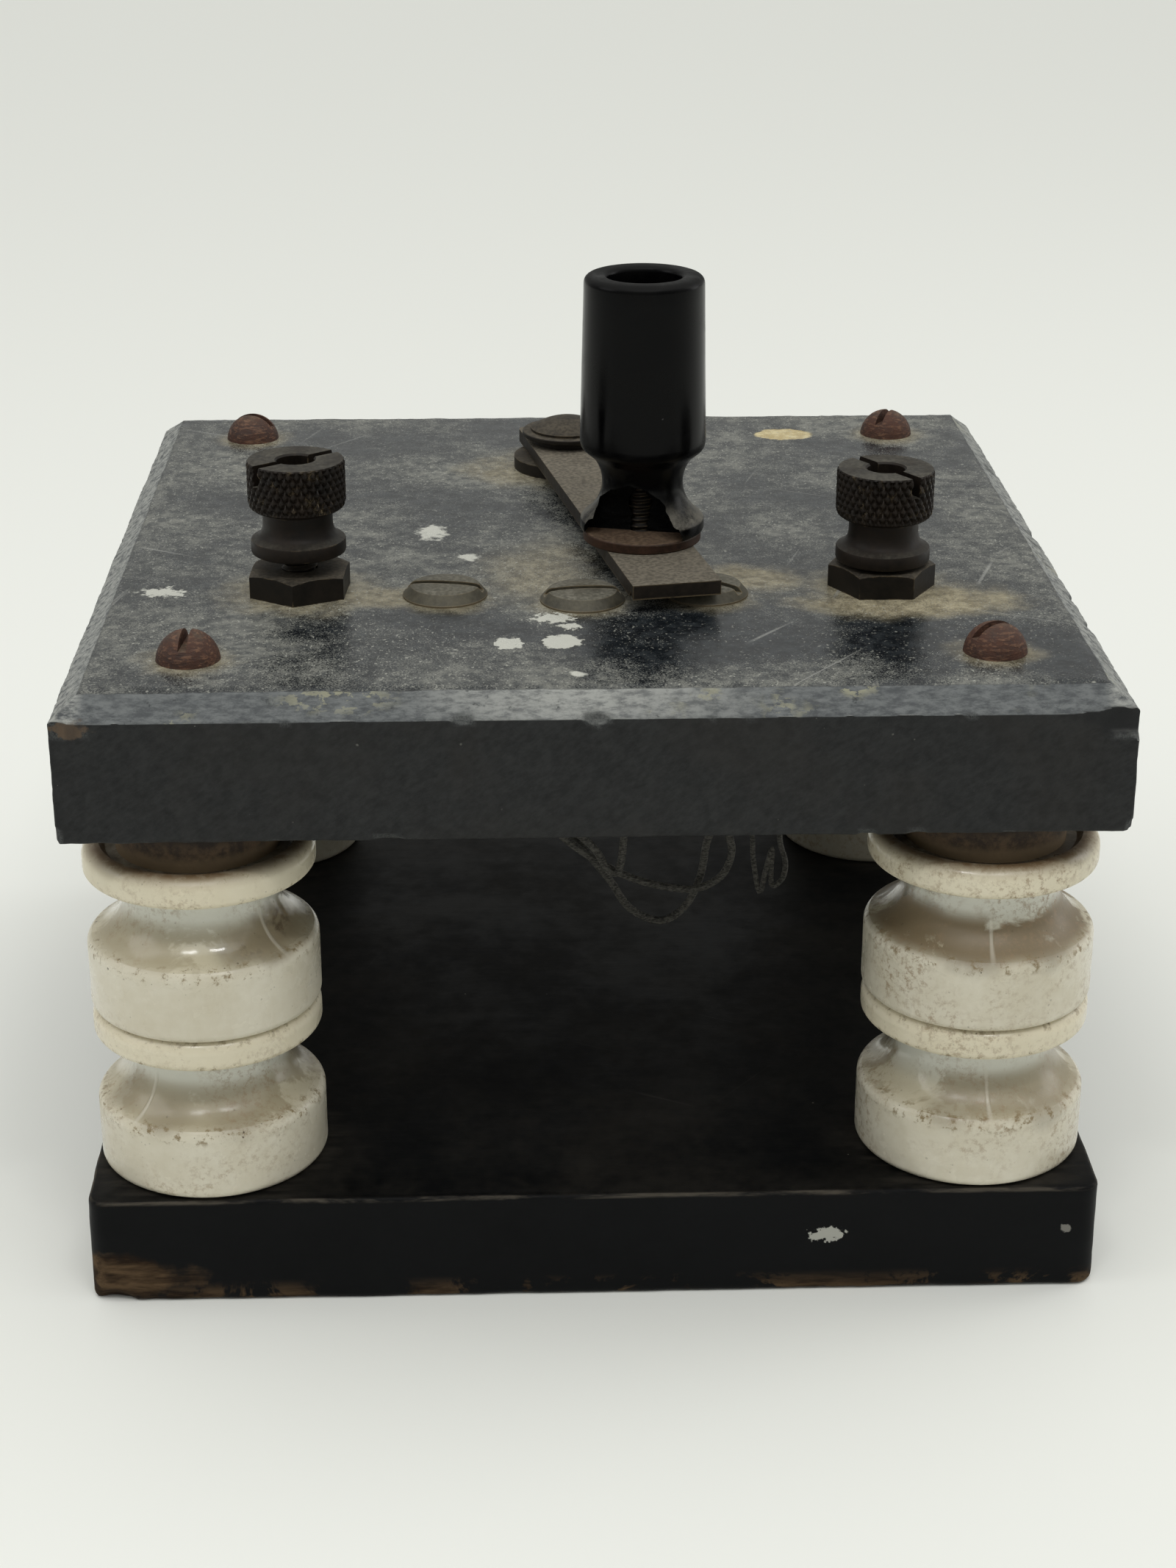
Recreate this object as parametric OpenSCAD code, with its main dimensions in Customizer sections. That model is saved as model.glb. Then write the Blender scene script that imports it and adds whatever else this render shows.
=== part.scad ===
// Single-pole lever selector switch on a slate panel, standing on four porcelain
// knob columns over a wooden base board. Millimetres. The origin is the middle of
// the base board's underside, +Z is up and the contact studs face -Y (the front).

/* [Base board] */
// Width and depth of the wooden base board
base_size = 170; // [140:1:220]
// Thickness of the base board
base_t = 19.5; // [12:0.5:30]
// Plan radius of the worn board corners
base_corner = 3.5; // [3:0.5:12]

/* [Slate panel] */
// Width and depth of the slate panel
slate_size = 170; // [140:1:220]
// Thickness of the slate panel
slate_t = 24; // [16:0.5:32]
// Horizontal run of the bevel round the top
bevel_run = 4.4; // [2:0.2:8]
// Drop of the bevel round the top
bevel_drop = 3.6; // [2:0.2:8]

/* [Porcelain columns] */
// Diameter of a porcelain knob's body
knob_d = 38.4; // [30:0.2:44]
// Height of one porcelain knob
knob_h = 29; // [24:0.1:40]
// Distance of the column axes from the panel's side edges
inset_x = 20.2; // [16:0.2:30]
// Distance of the front column axes from the panel's front edge
inset_front = 19.3; // [16:0.1:30]
// Distance of the rear column axes from the panel's rear edge
inset_rear = 19.3; // [16:0.1:30]
// Height of seat washer that shows between knob and slate
seat_show = 6.5; // [2:0.1:10]
// Diameter of a seat washer
seat_d = 27; // [20:0.5:30]

/* [Corner screws] */
// Diameter of the round screw heads
screw_head_d = 10.4; // [8:0.1:14]
// Diameter of the screw shank
screw_d = 5.5; // [4:0.1:6]

/* [Contacts] */
// Radius of the arc of contact studs round the pivot
contact_arc = 82; // [70:0.5:90]
// Diameter of a contact stud's head
contact_d = 14.4; // [10:0.1:18]
// Height of a contact stud's crown above the slate
contact_h = 2.3; // [1.6:0.1:3.4]
// Diameter of a contact stud's shank
contact_shank_d = 4.8; // [4:0.1:6]

/* [Lever] */
// Pivot position across the panel
pivot_x = -1.2; // [-4:0.1:4]
// Pivot position from the middle towards the rear
pivot_y = 43.5; // [36:0.5:50]
// Width of the blade
blade_w = 15.2; // [12:0.1:18]
// Thickness of the blade
blade_t = 2.5; // [1.6:0.1:3.2]
// How far the blade passes the arc of the studs
blade_over = 8; // [4:0.5:16]
// Angle of the blade at rest, from straight ahead towards the right
blade_angle = 10.2; // [-14:0.1:15]
// Diameter of the pivot screw's shank
pivot_d = 7.9; // [6:0.1:9]

/* [Handle] */
// Distance of the handle from the pivot along the blade
handle_at = 64; // [50:0.5:72]
// Height of the moulded handle
handle_h = 44.6; // [38:0.2:60]
// Diameter of the handle at its shoulder
handle_d = 21.8; // [19:0.1:26]
// Diameter of the open bore in the handle's top
bore_d = 12.7; // [10:0.1:14]
// Diameter of the handle washer
handle_washer_d = 20.6; // [18:0.1:26]

/* [Binding posts] */
// Post position across the panel, left one
post_left_x = -49; // [-54:0.2:-42]
// Post position across the panel, right one
post_right_x = 50.8; // [42:0.2:54]
// Distance of the posts behind the front column axes
post_back = 33.7; // [26:0.1:44]
// Diameter of the threaded post
post_d = 6.35; // [5:0.05:7]
// Width across the flats of the panel nuts
post_nut_af = 16; // [14:0.1:18]
// Thickness of the panel nuts
post_nut_t = 4.2; // [2.4:0.1:5]
// Diameter of the knurled thumb nuts
thumb_d = 16.6; // [14:0.1:20]
// Height of the knurled thumb nuts
thumb_h = 16.1; // [13:0.1:20]
// Gap that the left thumb nut stands open
left_gap = 2.9; // [0.5:0.1:6]
// Gap under the right thumb nut
right_gap = 0.6; // [0.3:0.1:6]

/* [Hidden] */
$fn = 64;
fit = 0.05;          // radial play of parts that turn or slide on one another
bite = 0.05;         // radial bite of a thread in its nut
gap = 0.2;           // play above and below the blade
loose = 0.45;        // radial play of a screw in a drilled hole

knob_z1 = base_t;
knob_z2 = base_t + knob_h;
knob_top = base_t + 2 * knob_h;
dish = 1;
slate_z = knob_top + seat_show;
slate_top = slate_z + slate_t;

col_half = min(base_size, slate_size) / 2;
col_x = col_half - inset_x;
col_front = inset_front - col_half;
col_rear = col_half - inset_rear;
columns = [[-col_x, col_front], [col_x, col_front], [-col_x, col_rear], [col_x, col_rear]];
screw_turn = [84, 25, -15, 60];
screw_r = screw_d / 2;
screw_head_r = screw_head_d / 2;
screw_head_h = 0.94 * screw_head_r;
screw_tip = 0.3 * base_t;

knob_r = knob_d / 2;
flange_r = knob_r - 0.1;
neck_r = knob_r - 6.6;
flange_t = 0.181 * knob_h;
body_h = 0.448 * knob_h;
seat_r = seat_d / 2;
dish_r = min(seat_r + 1.7, flange_r - 3.9);

contact_r = contact_d / 2;
contact_turn = [-16.3, 0.2, 15.2];
contact_slot = [-9, 5, -32];
contact_shank_r = contact_shank_d / 2;
contacts = [for (a = contact_turn)
    [pivot_x + contact_arc * sin(a), pivot_y - contact_arc * cos(a)]];
nut_t = 3.2;
small_af = 9.5;
small_wash_t = 1;
small_wash_r = 5.6;
wire_r = 0.7;
thin_r = 0.5;
small_z1 = slate_z - small_wash_t;
small_z2 = small_z1 - nut_t;
small_z3 = small_z2 - 2 * wire_r + 0.1;
small_end = small_z3 - nut_t - 3.4;

pivot_r = pivot_d / 2;
spacer_t = contact_h;
spacer_r = 10.5;
blade_z = slate_top + spacer_t + gap;
blade_top = blade_z + blade_t;
spring_r = pivot_r + 3;
spring_t = 1.2;
pivot_wash_r = pivot_r + 4.9;
pivot_wash_t = 1;
pivot_head_r = pivot_r + 3.2;
pivot_head_h = 2.6;
pivot_z1 = blade_top + gap;
pivot_z2 = pivot_z1 + spring_t;
pivot_z3 = pivot_z2 + pivot_wash_t;
blade_reach = contact_arc + blade_over;
blade_tail = 12.2;
blade_soft = 1.6;
pivot_af = 12.7;
pivot_nut_t = 4.4;
pivot_u1 = slate_z - 1.4;
pivot_u2 = pivot_u1 - pivot_nut_t;
pivot_u3 = pivot_u2 - 2 * wire_r + 0.1;
pivot_end = pivot_u3 - pivot_nut_t - 2;

handle_washer_t = 1.8;
handle_z = blade_top + handle_washer_t;
handle_r = handle_d / 2;
handle_top_r = handle_r - 0.6;
handle_neck_r = 0.647 * handle_r;
foot_r = handle_r - 0.1;
foot_t = 2.4;
neck_z = 8.8;
shoulder_z = 15.8;
bore_r = bore_d / 2;
bore_z = 15.4;
stud_r = 2.4;
stud_hole = stud_r + 0.1;
inner_wash_t = 1;
handle_nut_t = 3.2;
handle_nut_af = 8;
rim_round = 1.4;
break_in = 1.7;
break_turn = -14;

post_r = post_d / 2;
post_wash_r = 7.2;
post_wash_t = 1.2;
under_af = 11.1;
under_t = 4;
post_u1 = slate_z - post_wash_t;
post_u2 = post_u1 - under_t;
post_u3 = post_u2 - 2 * wire_r + 0.1;
post_end = post_u3 - under_t - 2;
hex_z = slate_top + post_nut_t;
post_tip = hex_z + right_gap + thumb_h - 4.6;
thumb_r = thumb_d / 2;
thumb_neck_r = 0.715 * thumb_r;
thumb_flange_r = 0.97 * thumb_r;
post_y = col_front + post_back;
posts = [[post_left_x, post_y], [post_right_x, post_y]];
hex_turn = [25.7, -1];
thumb_slot = [38, -58];
slot_w = 1.7;
slot_deep = 3.5;

white = [0.86, 0.85, 0.8];
slate_grey = [0.3, 0.31, 0.32];
black = [0.06, 0.06, 0.06];
bronze = [0.42, 0.36, 0.27];
copper = [0.45, 0.27, 0.16];
rust = [0.25, 0.16, 0.12];
felt = [0.2, 0.13, 0.09];

// ---------- helpers ----------

// square from (x0, y0) to (x1, y1) with its outer corners rounded
module soft(x0, y0, x1, y1, c) {
    translate([x0, y0]) square([x1 - x0 - c, y1 - y0]);
    translate([x0, y0 + c]) square([x1 - x0, y1 - y0 - 2 * c]);
    translate([x1 - c, y0 + c]) circle(r = c);
    translate([x1 - c, y1 - c]) circle(r = c);
}

// flat ring
module ring(r_out, r_in, t) {
    difference() {
        cylinder(r = r_out, h = t);
        translate([0, 0, -1]) cylinder(r = r_in, h = t + 2);
    }
}

// hexagon nut with both faces chamfered, standing on z = 0
module hex_nut(af, t, r_in, low = true) {
    rc = af / 2 / cos(30);
    c = (rc - af / 2) * 0.9;
    difference() {
        intersection() {
            cylinder(r = rc, h = t, $fn = 6);
            rotate_extrude() polygon(low
                ? [[0, 0], [af / 2, 0], [rc + 0.1, c * 0.5], [rc + 0.1, t - c * 0.5], [af / 2, t], [0, t]]
                : [[0, 0], [rc + 0.1, 0], [rc + 0.1, t - c * 0.5], [af / 2, t], [0, t]]);
        }
        translate([0, 0, -1]) cylinder(r = r_in, h = t + 2);
    }
}

// low dome over a rim, profile from the axis
module dome_profile(r, rim, h) {
    rise = h - rim;
    q = r - 0.12;
    big = (q * q + rise * rise) / 2 / rise;
    square([r, rim]);
    intersection() {
        translate([0, rim]) square([r, rise + 1]);
        translate([0, h - big]) circle(r = big, $fn = 180);
    }
}

function unit(v) = v / norm(v);

// points of a smooth curve through p, n steps to each stretch
function smooth(p, n) = [for (i = [0:len(p) - 2]) for (k = [0:n - 1])
    let (t = k / n,
        a = p[max(i - 1, 0)], b = p[i], c = p[i + 1], d = p[min(i + 2, len(p) - 1)])
    b + 0.5 * t * ((c - a) + t * ((2 * a - 5 * b + 4 * c - d) + t * (3 * (b - c) + d - a)))];

// round wire along the points p
module wire(p, r, sides = 8) {
    n = len(p);
    tan = [for (i = [0:n - 1]) unit(p[min(i + 1, n - 1)] - p[max(i - 1, 0)])];
    side0 = unit(cross(tan[0], [0.3, 0.2, 1]));
    across = [for (i = 0, s = side0; i < n;
        i = i + 1, s = i < n ? unit(s - (s * tan[i]) * tan[i]) : s) s];
    rings = [for (i = [0:n - 1]) for (k = [0:sides - 1])
        let (a = 360 * k / sides, u = across[i], v = cross(tan[i], u))
        p[i] + r * (cos(a) * u + sin(a) * v)];
    skin = [for (i = [0:n - 2]) for (k = [0:sides - 1])
        let (a = i * sides + k, b = i * sides + (k + 1) % sides)
        [a, a + sides, b + sides, b]];
    ends = [[for (k = [0:sides - 1]) k], [for (k = [sides - 1:-1:0]) (n - 1) * sides + k]];
    polyhedron(points = rings, faces = concat(skin, ends), convexity = 6);
}

// eye of wire round a screw of radius q at c, from the angle a0 over the turn w
function eye(c, q, z, a0, w, n = 10) = [for (i = [0:n])
    [c[0] + q * cos(a0 + w * i / n), c[1] + q * sin(a0 + w * i / n), z]];

// ---------- base and panel ----------

module base_board() {
    h = base_size / 2;
    c = base_corner;
    color(black) difference() {
        union() {
            translate([-h + c, -h, 0]) cube([2 * (h - c), 2 * h, base_t]);
            translate([-h, -h + c, 0]) cube([2 * h, 2 * (h - c), base_t]);
            for (x = [c - h, h - c]) for (y = [c - h, h - c])
                translate([x, y, 0]) cylinder(r = c, h = base_t);
        }
        for (p = columns) translate([p[0], p[1], screw_tip])
            cylinder(r = screw_r - bite, h = base_t);
    }
}

module slate_panel() {
    h = slate_size / 2;
    lean = atan2(bevel_drop, bevel_run);
    color(slate_grey) difference() {
        translate([-h, -h, slate_z]) cube([2 * h, 2 * h, slate_t]);
        for (a = [0:90:270]) rotate([0, 0, a])
            translate([0, -h, slate_top - bevel_drop]) rotate([lean, 0, 0])
                translate([-2 * h, -20, 0]) cube([4 * h, 40, 20]);
        for (p = columns) translate([p[0], p[1], slate_z - 1])
            cylinder(r = screw_r + loose, h = slate_t + 2);
        for (p = contacts) translate([p[0], p[1], slate_z - 1])
            cylinder(r = contact_shank_r + loose, h = slate_t + 2);
        for (p = posts) translate([p[0], p[1], slate_z - 1])
            cylinder(r = post_r + loose, h = slate_t + 2);
        translate([pivot_x, pivot_y, slate_z - 1])
            cylinder(r = pivot_r + loose, h = slate_t + 2);
    }
}

// ---------- columns ----------

// soft rectangle whose upper corner has a larger round than its lower one
module soft2(x0, y0, x1, y1, low, high) {
    intersection() {
        soft(x0, y0, x1, y1, low);
        soft(x0, y0 - 10, x1, y1, high);
    }
}

module knob_profile() {
    in = screw_r + loose;
    dz = knob_h - dish;
    neck_top = knob_h - flange_t;
    groove = neck_top - body_h;
    difference() {
        union() {
            soft2(in, 0, knob_r, body_h, 1.3, 2.2);
            translate([in, body_h - 1]) square([knob_r - 1.25 - in, groove + 1.2]);
            soft2(in, neck_top, flange_r, knob_h, 1.2, 2.2);
        }
        intersection() {
            translate([neck_r + 0.8 * groove, body_h + 0.71 * groove]) circle(r = 0.8 * groove);
            translate([0, body_h - 2]) square([knob_r + 1, groove + 2]);
        }
        polygon([[0, dz], [dish_r, dz], [dish_r + 1.1, knob_h + 0.1], [0, knob_h + 0.1]]);
    }
}

module knob(i, z) {
    color(white) translate([columns[i][0], columns[i][1], z]) rotate_extrude() knob_profile();
}

module lower_knob_front_left() { knob(0, knob_z1); }
module lower_knob_front_right() { knob(1, knob_z1); }
module lower_knob_rear_left() { knob(2, knob_z1); }
module lower_knob_rear_right() { knob(3, knob_z1); }
module upper_knob_front_left() { knob(0, knob_z2); }
module upper_knob_front_right() { knob(1, knob_z2); }
module upper_knob_rear_left() { knob(2, knob_z2); }
module upper_knob_rear_right() { knob(3, knob_z2); }

module seat_washers() {
    color(felt) for (p = columns) translate([p[0], p[1], knob_top - dish])
        ring(seat_r, screw_r + loose, seat_show + dish);
}

module corner_screws() {
    big = (screw_head_r * screw_head_r + screw_head_h * screw_head_h) / 2 / screw_head_h;
    taper = 9;
    color(rust) for (i = [0:3]) translate([columns[i][0], columns[i][1], 0]) difference() {
        union() {
            translate([0, 0, slate_top]) rotate_extrude() intersection() {
                translate([0, screw_head_h - big]) circle(r = big);
                square([screw_head_r, screw_head_h]);
            }
            translate([0, 0, screw_tip + taper])
                cylinder(r = screw_r, h = slate_top - screw_tip - taper + 0.5);
            translate([0, 0, screw_tip]) cylinder(r1 = 0.4, r2 = screw_r, h = taper);
        }
        translate([0, 0, slate_top + screw_head_h - 2.3]) rotate([0, 0, screw_turn[i]])
            translate([-screw_head_r - 1, -0.7, 0]) cube([2 * screw_head_r + 2, 1.4, 5]);
    }
}

// ---------- contacts ----------

module contact(i) {
    color(bronze) translate([contacts[i][0], contacts[i][1], 0]) difference() {
        union() {
            translate([0, 0, slate_top]) rotate_extrude() polygon([[0, 0], [contact_r, 0],
                [contact_r, 0.12 * contact_h], [contact_r - 1.35, 0.8 * contact_h],
                [contact_r - 1.9, 0.88 * contact_h], [contact_r - 3.4, 0.95 * contact_h],
                [contact_r - 5, 0.985 * contact_h], [0, contact_h]]);
            translate([0, 0, small_end]) cylinder(r = contact_shank_r, h = slate_top - small_end + 0.2);
        }
        translate([0, 0, slate_top + contact_h - 1.3]) rotate([0, 0, contact_slot[i]])
            translate([-contact_r - 1, -0.75, 0]) cube([2 * contact_r + 2, 1.5, 3]);
    }
}

module contact_stud_1() { contact(0); }
module contact_stud_2() { contact(1); }
module contact_stud_3() { contact(2); }

module contact_washers() {
    color(bronze) for (p = contacts) translate([p[0], p[1], small_z1])
        ring(small_wash_r, contact_shank_r + 0.2, small_wash_t);
}

module contact_nuts() {
    color(bronze) for (p = contacts) translate([p[0], p[1], small_z2])
        rotate([0, 0, 12]) hex_nut(small_af, nut_t, contact_shank_r - bite);
}

module contact_lock_nuts() {
    color(bronze) for (p = contacts) translate([p[0], p[1], small_z3 - nut_t])
        rotate([0, 0, 40]) hex_nut(small_af, nut_t, contact_shank_r - bite);
}

// ---------- pivot ----------

module at_pivot(z) { translate([pivot_x, pivot_y, z]) children(); }

module pivot_spacer() {
    color(bronze) at_pivot(slate_top) ring(spacer_r, pivot_r + fit, spacer_t);
}

module pivot_screw() {
    color(bronze) at_pivot(0) {
        translate([0, 0, pivot_z3]) rotate_extrude() dome_profile(pivot_head_r, 0.5, pivot_head_h);
        translate([0, 0, pivot_end]) cylinder(r = pivot_r, h = pivot_z3 - pivot_end + 0.2);
    }
}

module pivot_spring_washer() {
    color(bronze) at_pivot(pivot_z1) ring(spring_r, pivot_r + fit, spring_t);
}

module pivot_washer() {
    color(bronze) at_pivot(pivot_z2) difference() {
        rotate_extrude() soft(0, 0, pivot_wash_r, pivot_wash_t, 0.3);
        translate([0, 0, -1]) cylinder(r = pivot_r + fit, h = 4);
    }
}

module pivot_under_washer() {
    color(bronze) at_pivot(pivot_u1) ring(8.2, pivot_r + 0.2, slate_z - pivot_u1);
}

module pivot_nut() {
    color(bronze) at_pivot(pivot_u2) rotate([0, 0, 20]) hex_nut(pivot_af, pivot_nut_t, pivot_r - bite);
}

module pivot_lock_nut() {
    color(bronze) at_pivot(pivot_u3 - pivot_nut_t) rotate([0, 0, 5])
        hex_nut(pivot_af, pivot_nut_t, pivot_r - bite);
}

// ---------- lever ----------

// the frame of the lever: -Y runs along the blade from the pivot
module on_lever(z) { translate([pivot_x, pivot_y, z]) rotate([0, 0, blade_angle]) children(); }

module blade() {
    w = blade_w / 2;
    s = blade_soft;
    color(bronze) on_lever(blade_z) difference() {
        union() {
            translate([-w, -blade_reach, 0]) cube([blade_w, blade_reach + blade_tail - s, blade_t]);
            translate([s - w, -1, 0]) cube([blade_w - 2 * s, blade_tail + 1, blade_t]);
            for (x = [s - w, w - s]) translate([x, blade_tail - s, 0]) cylinder(r = s, h = blade_t);
        }
        translate([0, 0, -1]) cylinder(r = pivot_r + fit, h = blade_t + 2);
        translate([0, -handle_at, -1]) cylinder(r = stud_r + 0.05, h = blade_t + 2);
        translate([0, -handle_at, -0.01])
            cylinder(r1 = stud_r + 2.05, r2 = stud_r + 0.05, h = 1.51);
        // the free end is eased underneath, where it meets the studs
        translate([-w - 1, -blade_reach, 0]) rotate([38, 0, 0])
            translate([0, -4, -4]) cube([blade_w + 2, 6, 4]);
    }
}

module handle_screw() {
    end = bore_z + inner_wash_t + handle_nut_t + 1.6;
    color(copper) on_lever(0) translate([0, -handle_at, 0]) {
        translate([0, 0, blade_z]) cylinder(r1 = stud_r + 2, r2 = stud_r, h = 1.5);
        translate([0, 0, blade_z + 1]) cylinder(r = stud_r, h = handle_z + end - blade_z - 1);
    }
}

module handle_washer() {
    color(copper) on_lever(blade_top) translate([0, -handle_at, 0]) difference() {
        rotate_extrude() soft(0, 0, handle_washer_d / 2, handle_washer_t, 0.3);
        translate([0, 0, -1]) cylinder(r = stud_r + 0.1, h = 4);
    }
}

module handle_profile() {
    // one hollow runs from the foot's rim up to a crease under the shoulder
    mid = neck_z - 0.2;
    hollow = 6.9;
    crease = mid + 4.45;
    crease_r = handle_neck_r + hollow - sqrt(hollow * hollow - 4.45 * 4.45);
    tip_r = handle_top_r - rim_round;
    difference() {
        union() {
            polygon([[0, 0], [foot_r - 0.5, 0], [foot_r, 0.5], [foot_r, foot_t - 0.4],
                [foot_r - 0.6, foot_t + 0.6], [0, foot_t + 0.6]]);
            translate([0, 1]) square([foot_r - 1.2, crease - 1]);
            polygon([[0, crease - 1], [crease_r - 1.25, crease - 1],
                [handle_r - 0.55, crease + (handle_r - 0.55 - crease_r) / 1.25],
                [handle_r - 0.12, shoulder_z - 0.7], [handle_r, shoulder_z + 0.2],
                [handle_top_r, handle_h - rim_round], [0, handle_h - rim_round]]);
            translate([tip_r, handle_h - rim_round]) circle(r = rim_round);
            translate([0, handle_h - rim_round - 0.1]) square([tip_r, rim_round + 0.1]);
        }
        translate([handle_neck_r + hollow, mid]) circle(r = hollow, $fn = 120);
        translate([0, bore_z]) square([bore_r, handle_h]);
        translate([0, -1]) square([stud_hole, handle_h]);
        polygon([[0, handle_h - 0.7], [bore_r, handle_h - 0.7],
            [bore_r + 0.9, handle_h + 0.1], [0, handle_h + 0.1]]);
    }
}

// what has broken out of the foot's front, down to the handle screw: the outline of the
// breach seen from the front, and how the broken face leans, seen from the side
module foot_break() {
    rotate([0, 0, break_turn]) intersection() {
        rotate([90, 0, 0]) linear_extrude(16)
            polygon([[-9.3, -1], [-9.1, 1.7], [-7.6, 3.1], [-6.9, 6], [-4.6, 8.2], [-1, 9.4],
                [2.2, 8.7], [4.7, 6.4], [6.1, 3.6], [7.9, 2.3], [8.7, -1]]);
        rotate([90, 0, 90]) translate([0, 0, -16]) linear_extrude(32)
            polygon([[-break_in, -1], [-break_in - 0.3, 2.6], [-break_in + 0.35, 5.4],
                [-break_in - 0.9, 8], [-break_in - 3.4, 12], [-16, 12], [-16, -1]]);
    }
}

module handle() {
    color(black) on_lever(handle_z) translate([0, -handle_at, 0]) difference() {
        rotate_extrude() handle_profile();
        rotate([0, 0, -blade_angle]) foot_break();
    }
}

module handle_inner_washer() {
    color(copper) on_lever(handle_z + bore_z) translate([0, -handle_at, 0])
        ring(bore_r - 0.4, stud_r + 0.1, inner_wash_t);
}

module handle_nut() {
    color(copper) on_lever(handle_z + bore_z + inner_wash_t) translate([0, -handle_at, 0])
        hex_nut(handle_nut_af, handle_nut_t, stud_r - bite);
}

// ---------- binding posts ----------

module post(i) {
    color(bronze) translate([posts[i][0], posts[i][1], post_end]) {
        cylinder(r = post_r, h = post_tip - post_end - 0.6);
        translate([0, 0, post_tip - post_end - 0.6]) cylinder(r1 = post_r, r2 = post_r - 0.6, h = 0.6);
    }
}

module left_post() { post(0); }
module right_post() { post(1); }

module panel_nut(i) {
    color(bronze) translate([posts[i][0], posts[i][1], slate_top]) rotate([0, 0, hex_turn[i]])
        hex_nut(post_nut_af, post_nut_t, post_r - bite, false);
}

module left_panel_nut() { panel_nut(0); }
module right_panel_nut() { panel_nut(1); }

module thumb_profile() {
    in = post_r + fit;
    rim = 0.155 * thumb_h;
    head = 0.53 * thumb_h;
    nr = thumb_neck_r;
    fr = thumb_flange_r;
    polygon([[in, 0], [fr - 0.25, 0], [fr, 0.25], [fr, rim - 0.3], [fr - 0.3, rim],
        [nr + 1.1, rim + 0.4], [nr + 0.45, rim + 1], [nr + 0.12, rim + 1.8], [nr, rim + 2.6],
        [nr, head - 1.2], [nr + 0.9, head - 1], [thumb_r - 0.35, head - 0.5], [thumb_r, head],
        [thumb_r, thumb_h - 0.3], [thumb_r - 0.3, thumb_h], [in, thumb_h]]);
}

module thumb_nut(i, z) {
    color(bronze) translate([posts[i][0], posts[i][1], z]) difference() {
        rotate_extrude() thumb_profile();
        translate([0, 0, thumb_h - slot_deep]) rotate([0, 0, thumb_slot[i]])
            translate([-thumb_r - 1, -slot_w / 2, 0]) cube([2 * thumb_r + 2, slot_w, slot_deep + 1]);
    }
}

module left_thumb_nut() { thumb_nut(0, hex_z + left_gap); }
module right_thumb_nut() { thumb_nut(1, hex_z + right_gap); }

module post_washers() {
    color(bronze) for (p = posts) translate([p[0], p[1], post_u1])
        ring(post_wash_r, post_r + 0.2, post_wash_t);
}

module post_nuts() {
    color(bronze) for (p = posts) translate([p[0], p[1], post_u2])
        rotate([0, 0, 8]) hex_nut(under_af, under_t, post_r - bite);
}

module post_lock_nuts() {
    color(bronze) for (p = posts) translate([p[0], p[1], post_u3 - under_t])
        rotate([0, 0, 33]) hex_nut(under_af, under_t, post_r - bite);
}

// ---------- wires under the panel ----------

// wire between the two nuts of a contact stud, and wire soldered round its tip
tap_z = small_z2 - wire_r + 0.05;
tip_z = small_z3 - nut_t - wire_r - 0.02;
tap_q = contact_shank_r + wire_r + 0.05;
tip_q = contact_shank_r + wire_r - 0.05;
c1 = contacts[0];
c2 = contacts[1];
c3 = contacts[2];

// points given from a screw's axis and a height
function from(c, z, p) = [for (q = p) [c[0] + q[0], c[1] + q[1], z + q[2]]];

module pivot_wire() {
    c = [pivot_x, pivot_y];
    s = posts[0];
    far = s - c;
    d = far / norm(far);
    a = atan2(-d[0], d[1]);
    q = pivot_r + wire_r + 0.05;
    z = pivot_u2 - wire_r + 0.05;
    qs = post_r + wire_r + 0.05;
    zs = post_u2 - wire_r + 0.05;
    out = c + q * [cos(a), sin(a)];
    home = s - qs * [cos(a), sin(a)];
    mid = (out + home) / 2;
    color(black) wire(concat(
        eye(c, q, z, a - 290, 290),
        smooth([for (k = [[4, 0], [9, -0.4], [18, -4], [32, -7.5]])
            [out[0] + k[0] * d[0], out[1] + k[0] * d[1], z + k[1]]], 4),
        [[mid[0], mid[1], z - 9]],
        smooth([for (k = [[-30, -7.5], [-17, -3.6], [-9, -0.4], [-4, 0], [-2, 0]])
            [home[0] + k[0] * d[0], home[1] + k[0] * d[1], zs + k[1]]], 4),
        eye(s, qs, zs, a + 180, -290)), wire_r);
}

// contact 1 to contact 2, folded in front of contact 2
module jumper_wire() {
    color(black) wire(concat(
        eye(c1, tip_q, tip_z, -380, 290),
        smooth(concat(from(c1, tip_z, [[4, -3.3, -0.3], [12, -5.2, -4]]),
            from(c2, tip_z, [[-3.5, -4.8, -6], [1.6, -4, -10.5], [4.4, -3.6, -15.2],
                [6, -3.6, -15.8], [6.8, -3.6, -13], [7.2, -3.6, -6.6], [6.6, -3.5, -1.6],
                [4, -3.25, -0.2], [2, -3.15, 0]])), 4),
        eye(c2, tip_q, tip_z, -90, -290)), wire_r);
}

// contact 1 to contact 3, the deep loop
module deep_wire() {
    color(black) wire(concat(
        eye(c1, tap_q, tap_z, -380, 290),
        smooth(concat(from(c1, tap_z, [[4, -3.3, 0], [9, -2.6, -1.6], [16, -0.8, -9]]),
            from(c2, tap_z, [[0.6, 2.5, -18.8], [5, 2.5, -24.6], [8.6, 2.5, -30.2],
                [14.2, 2.5, -32.8], [18.6, 2.5, -29.8]]),
            from(c3, tap_z, [[0, -0.2, -24], [0.9, -1.4, -17], [2.2, -5.4, -11],
                [2.4, -8.2, -5], [0.9, -8.2, -0.7], [-1.2, -4.6, 0], [-1.9, -3.2, 0]])), 4),
        eye(c3, tap_q, tap_z, -150, -290)), wire_r);
}

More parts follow.
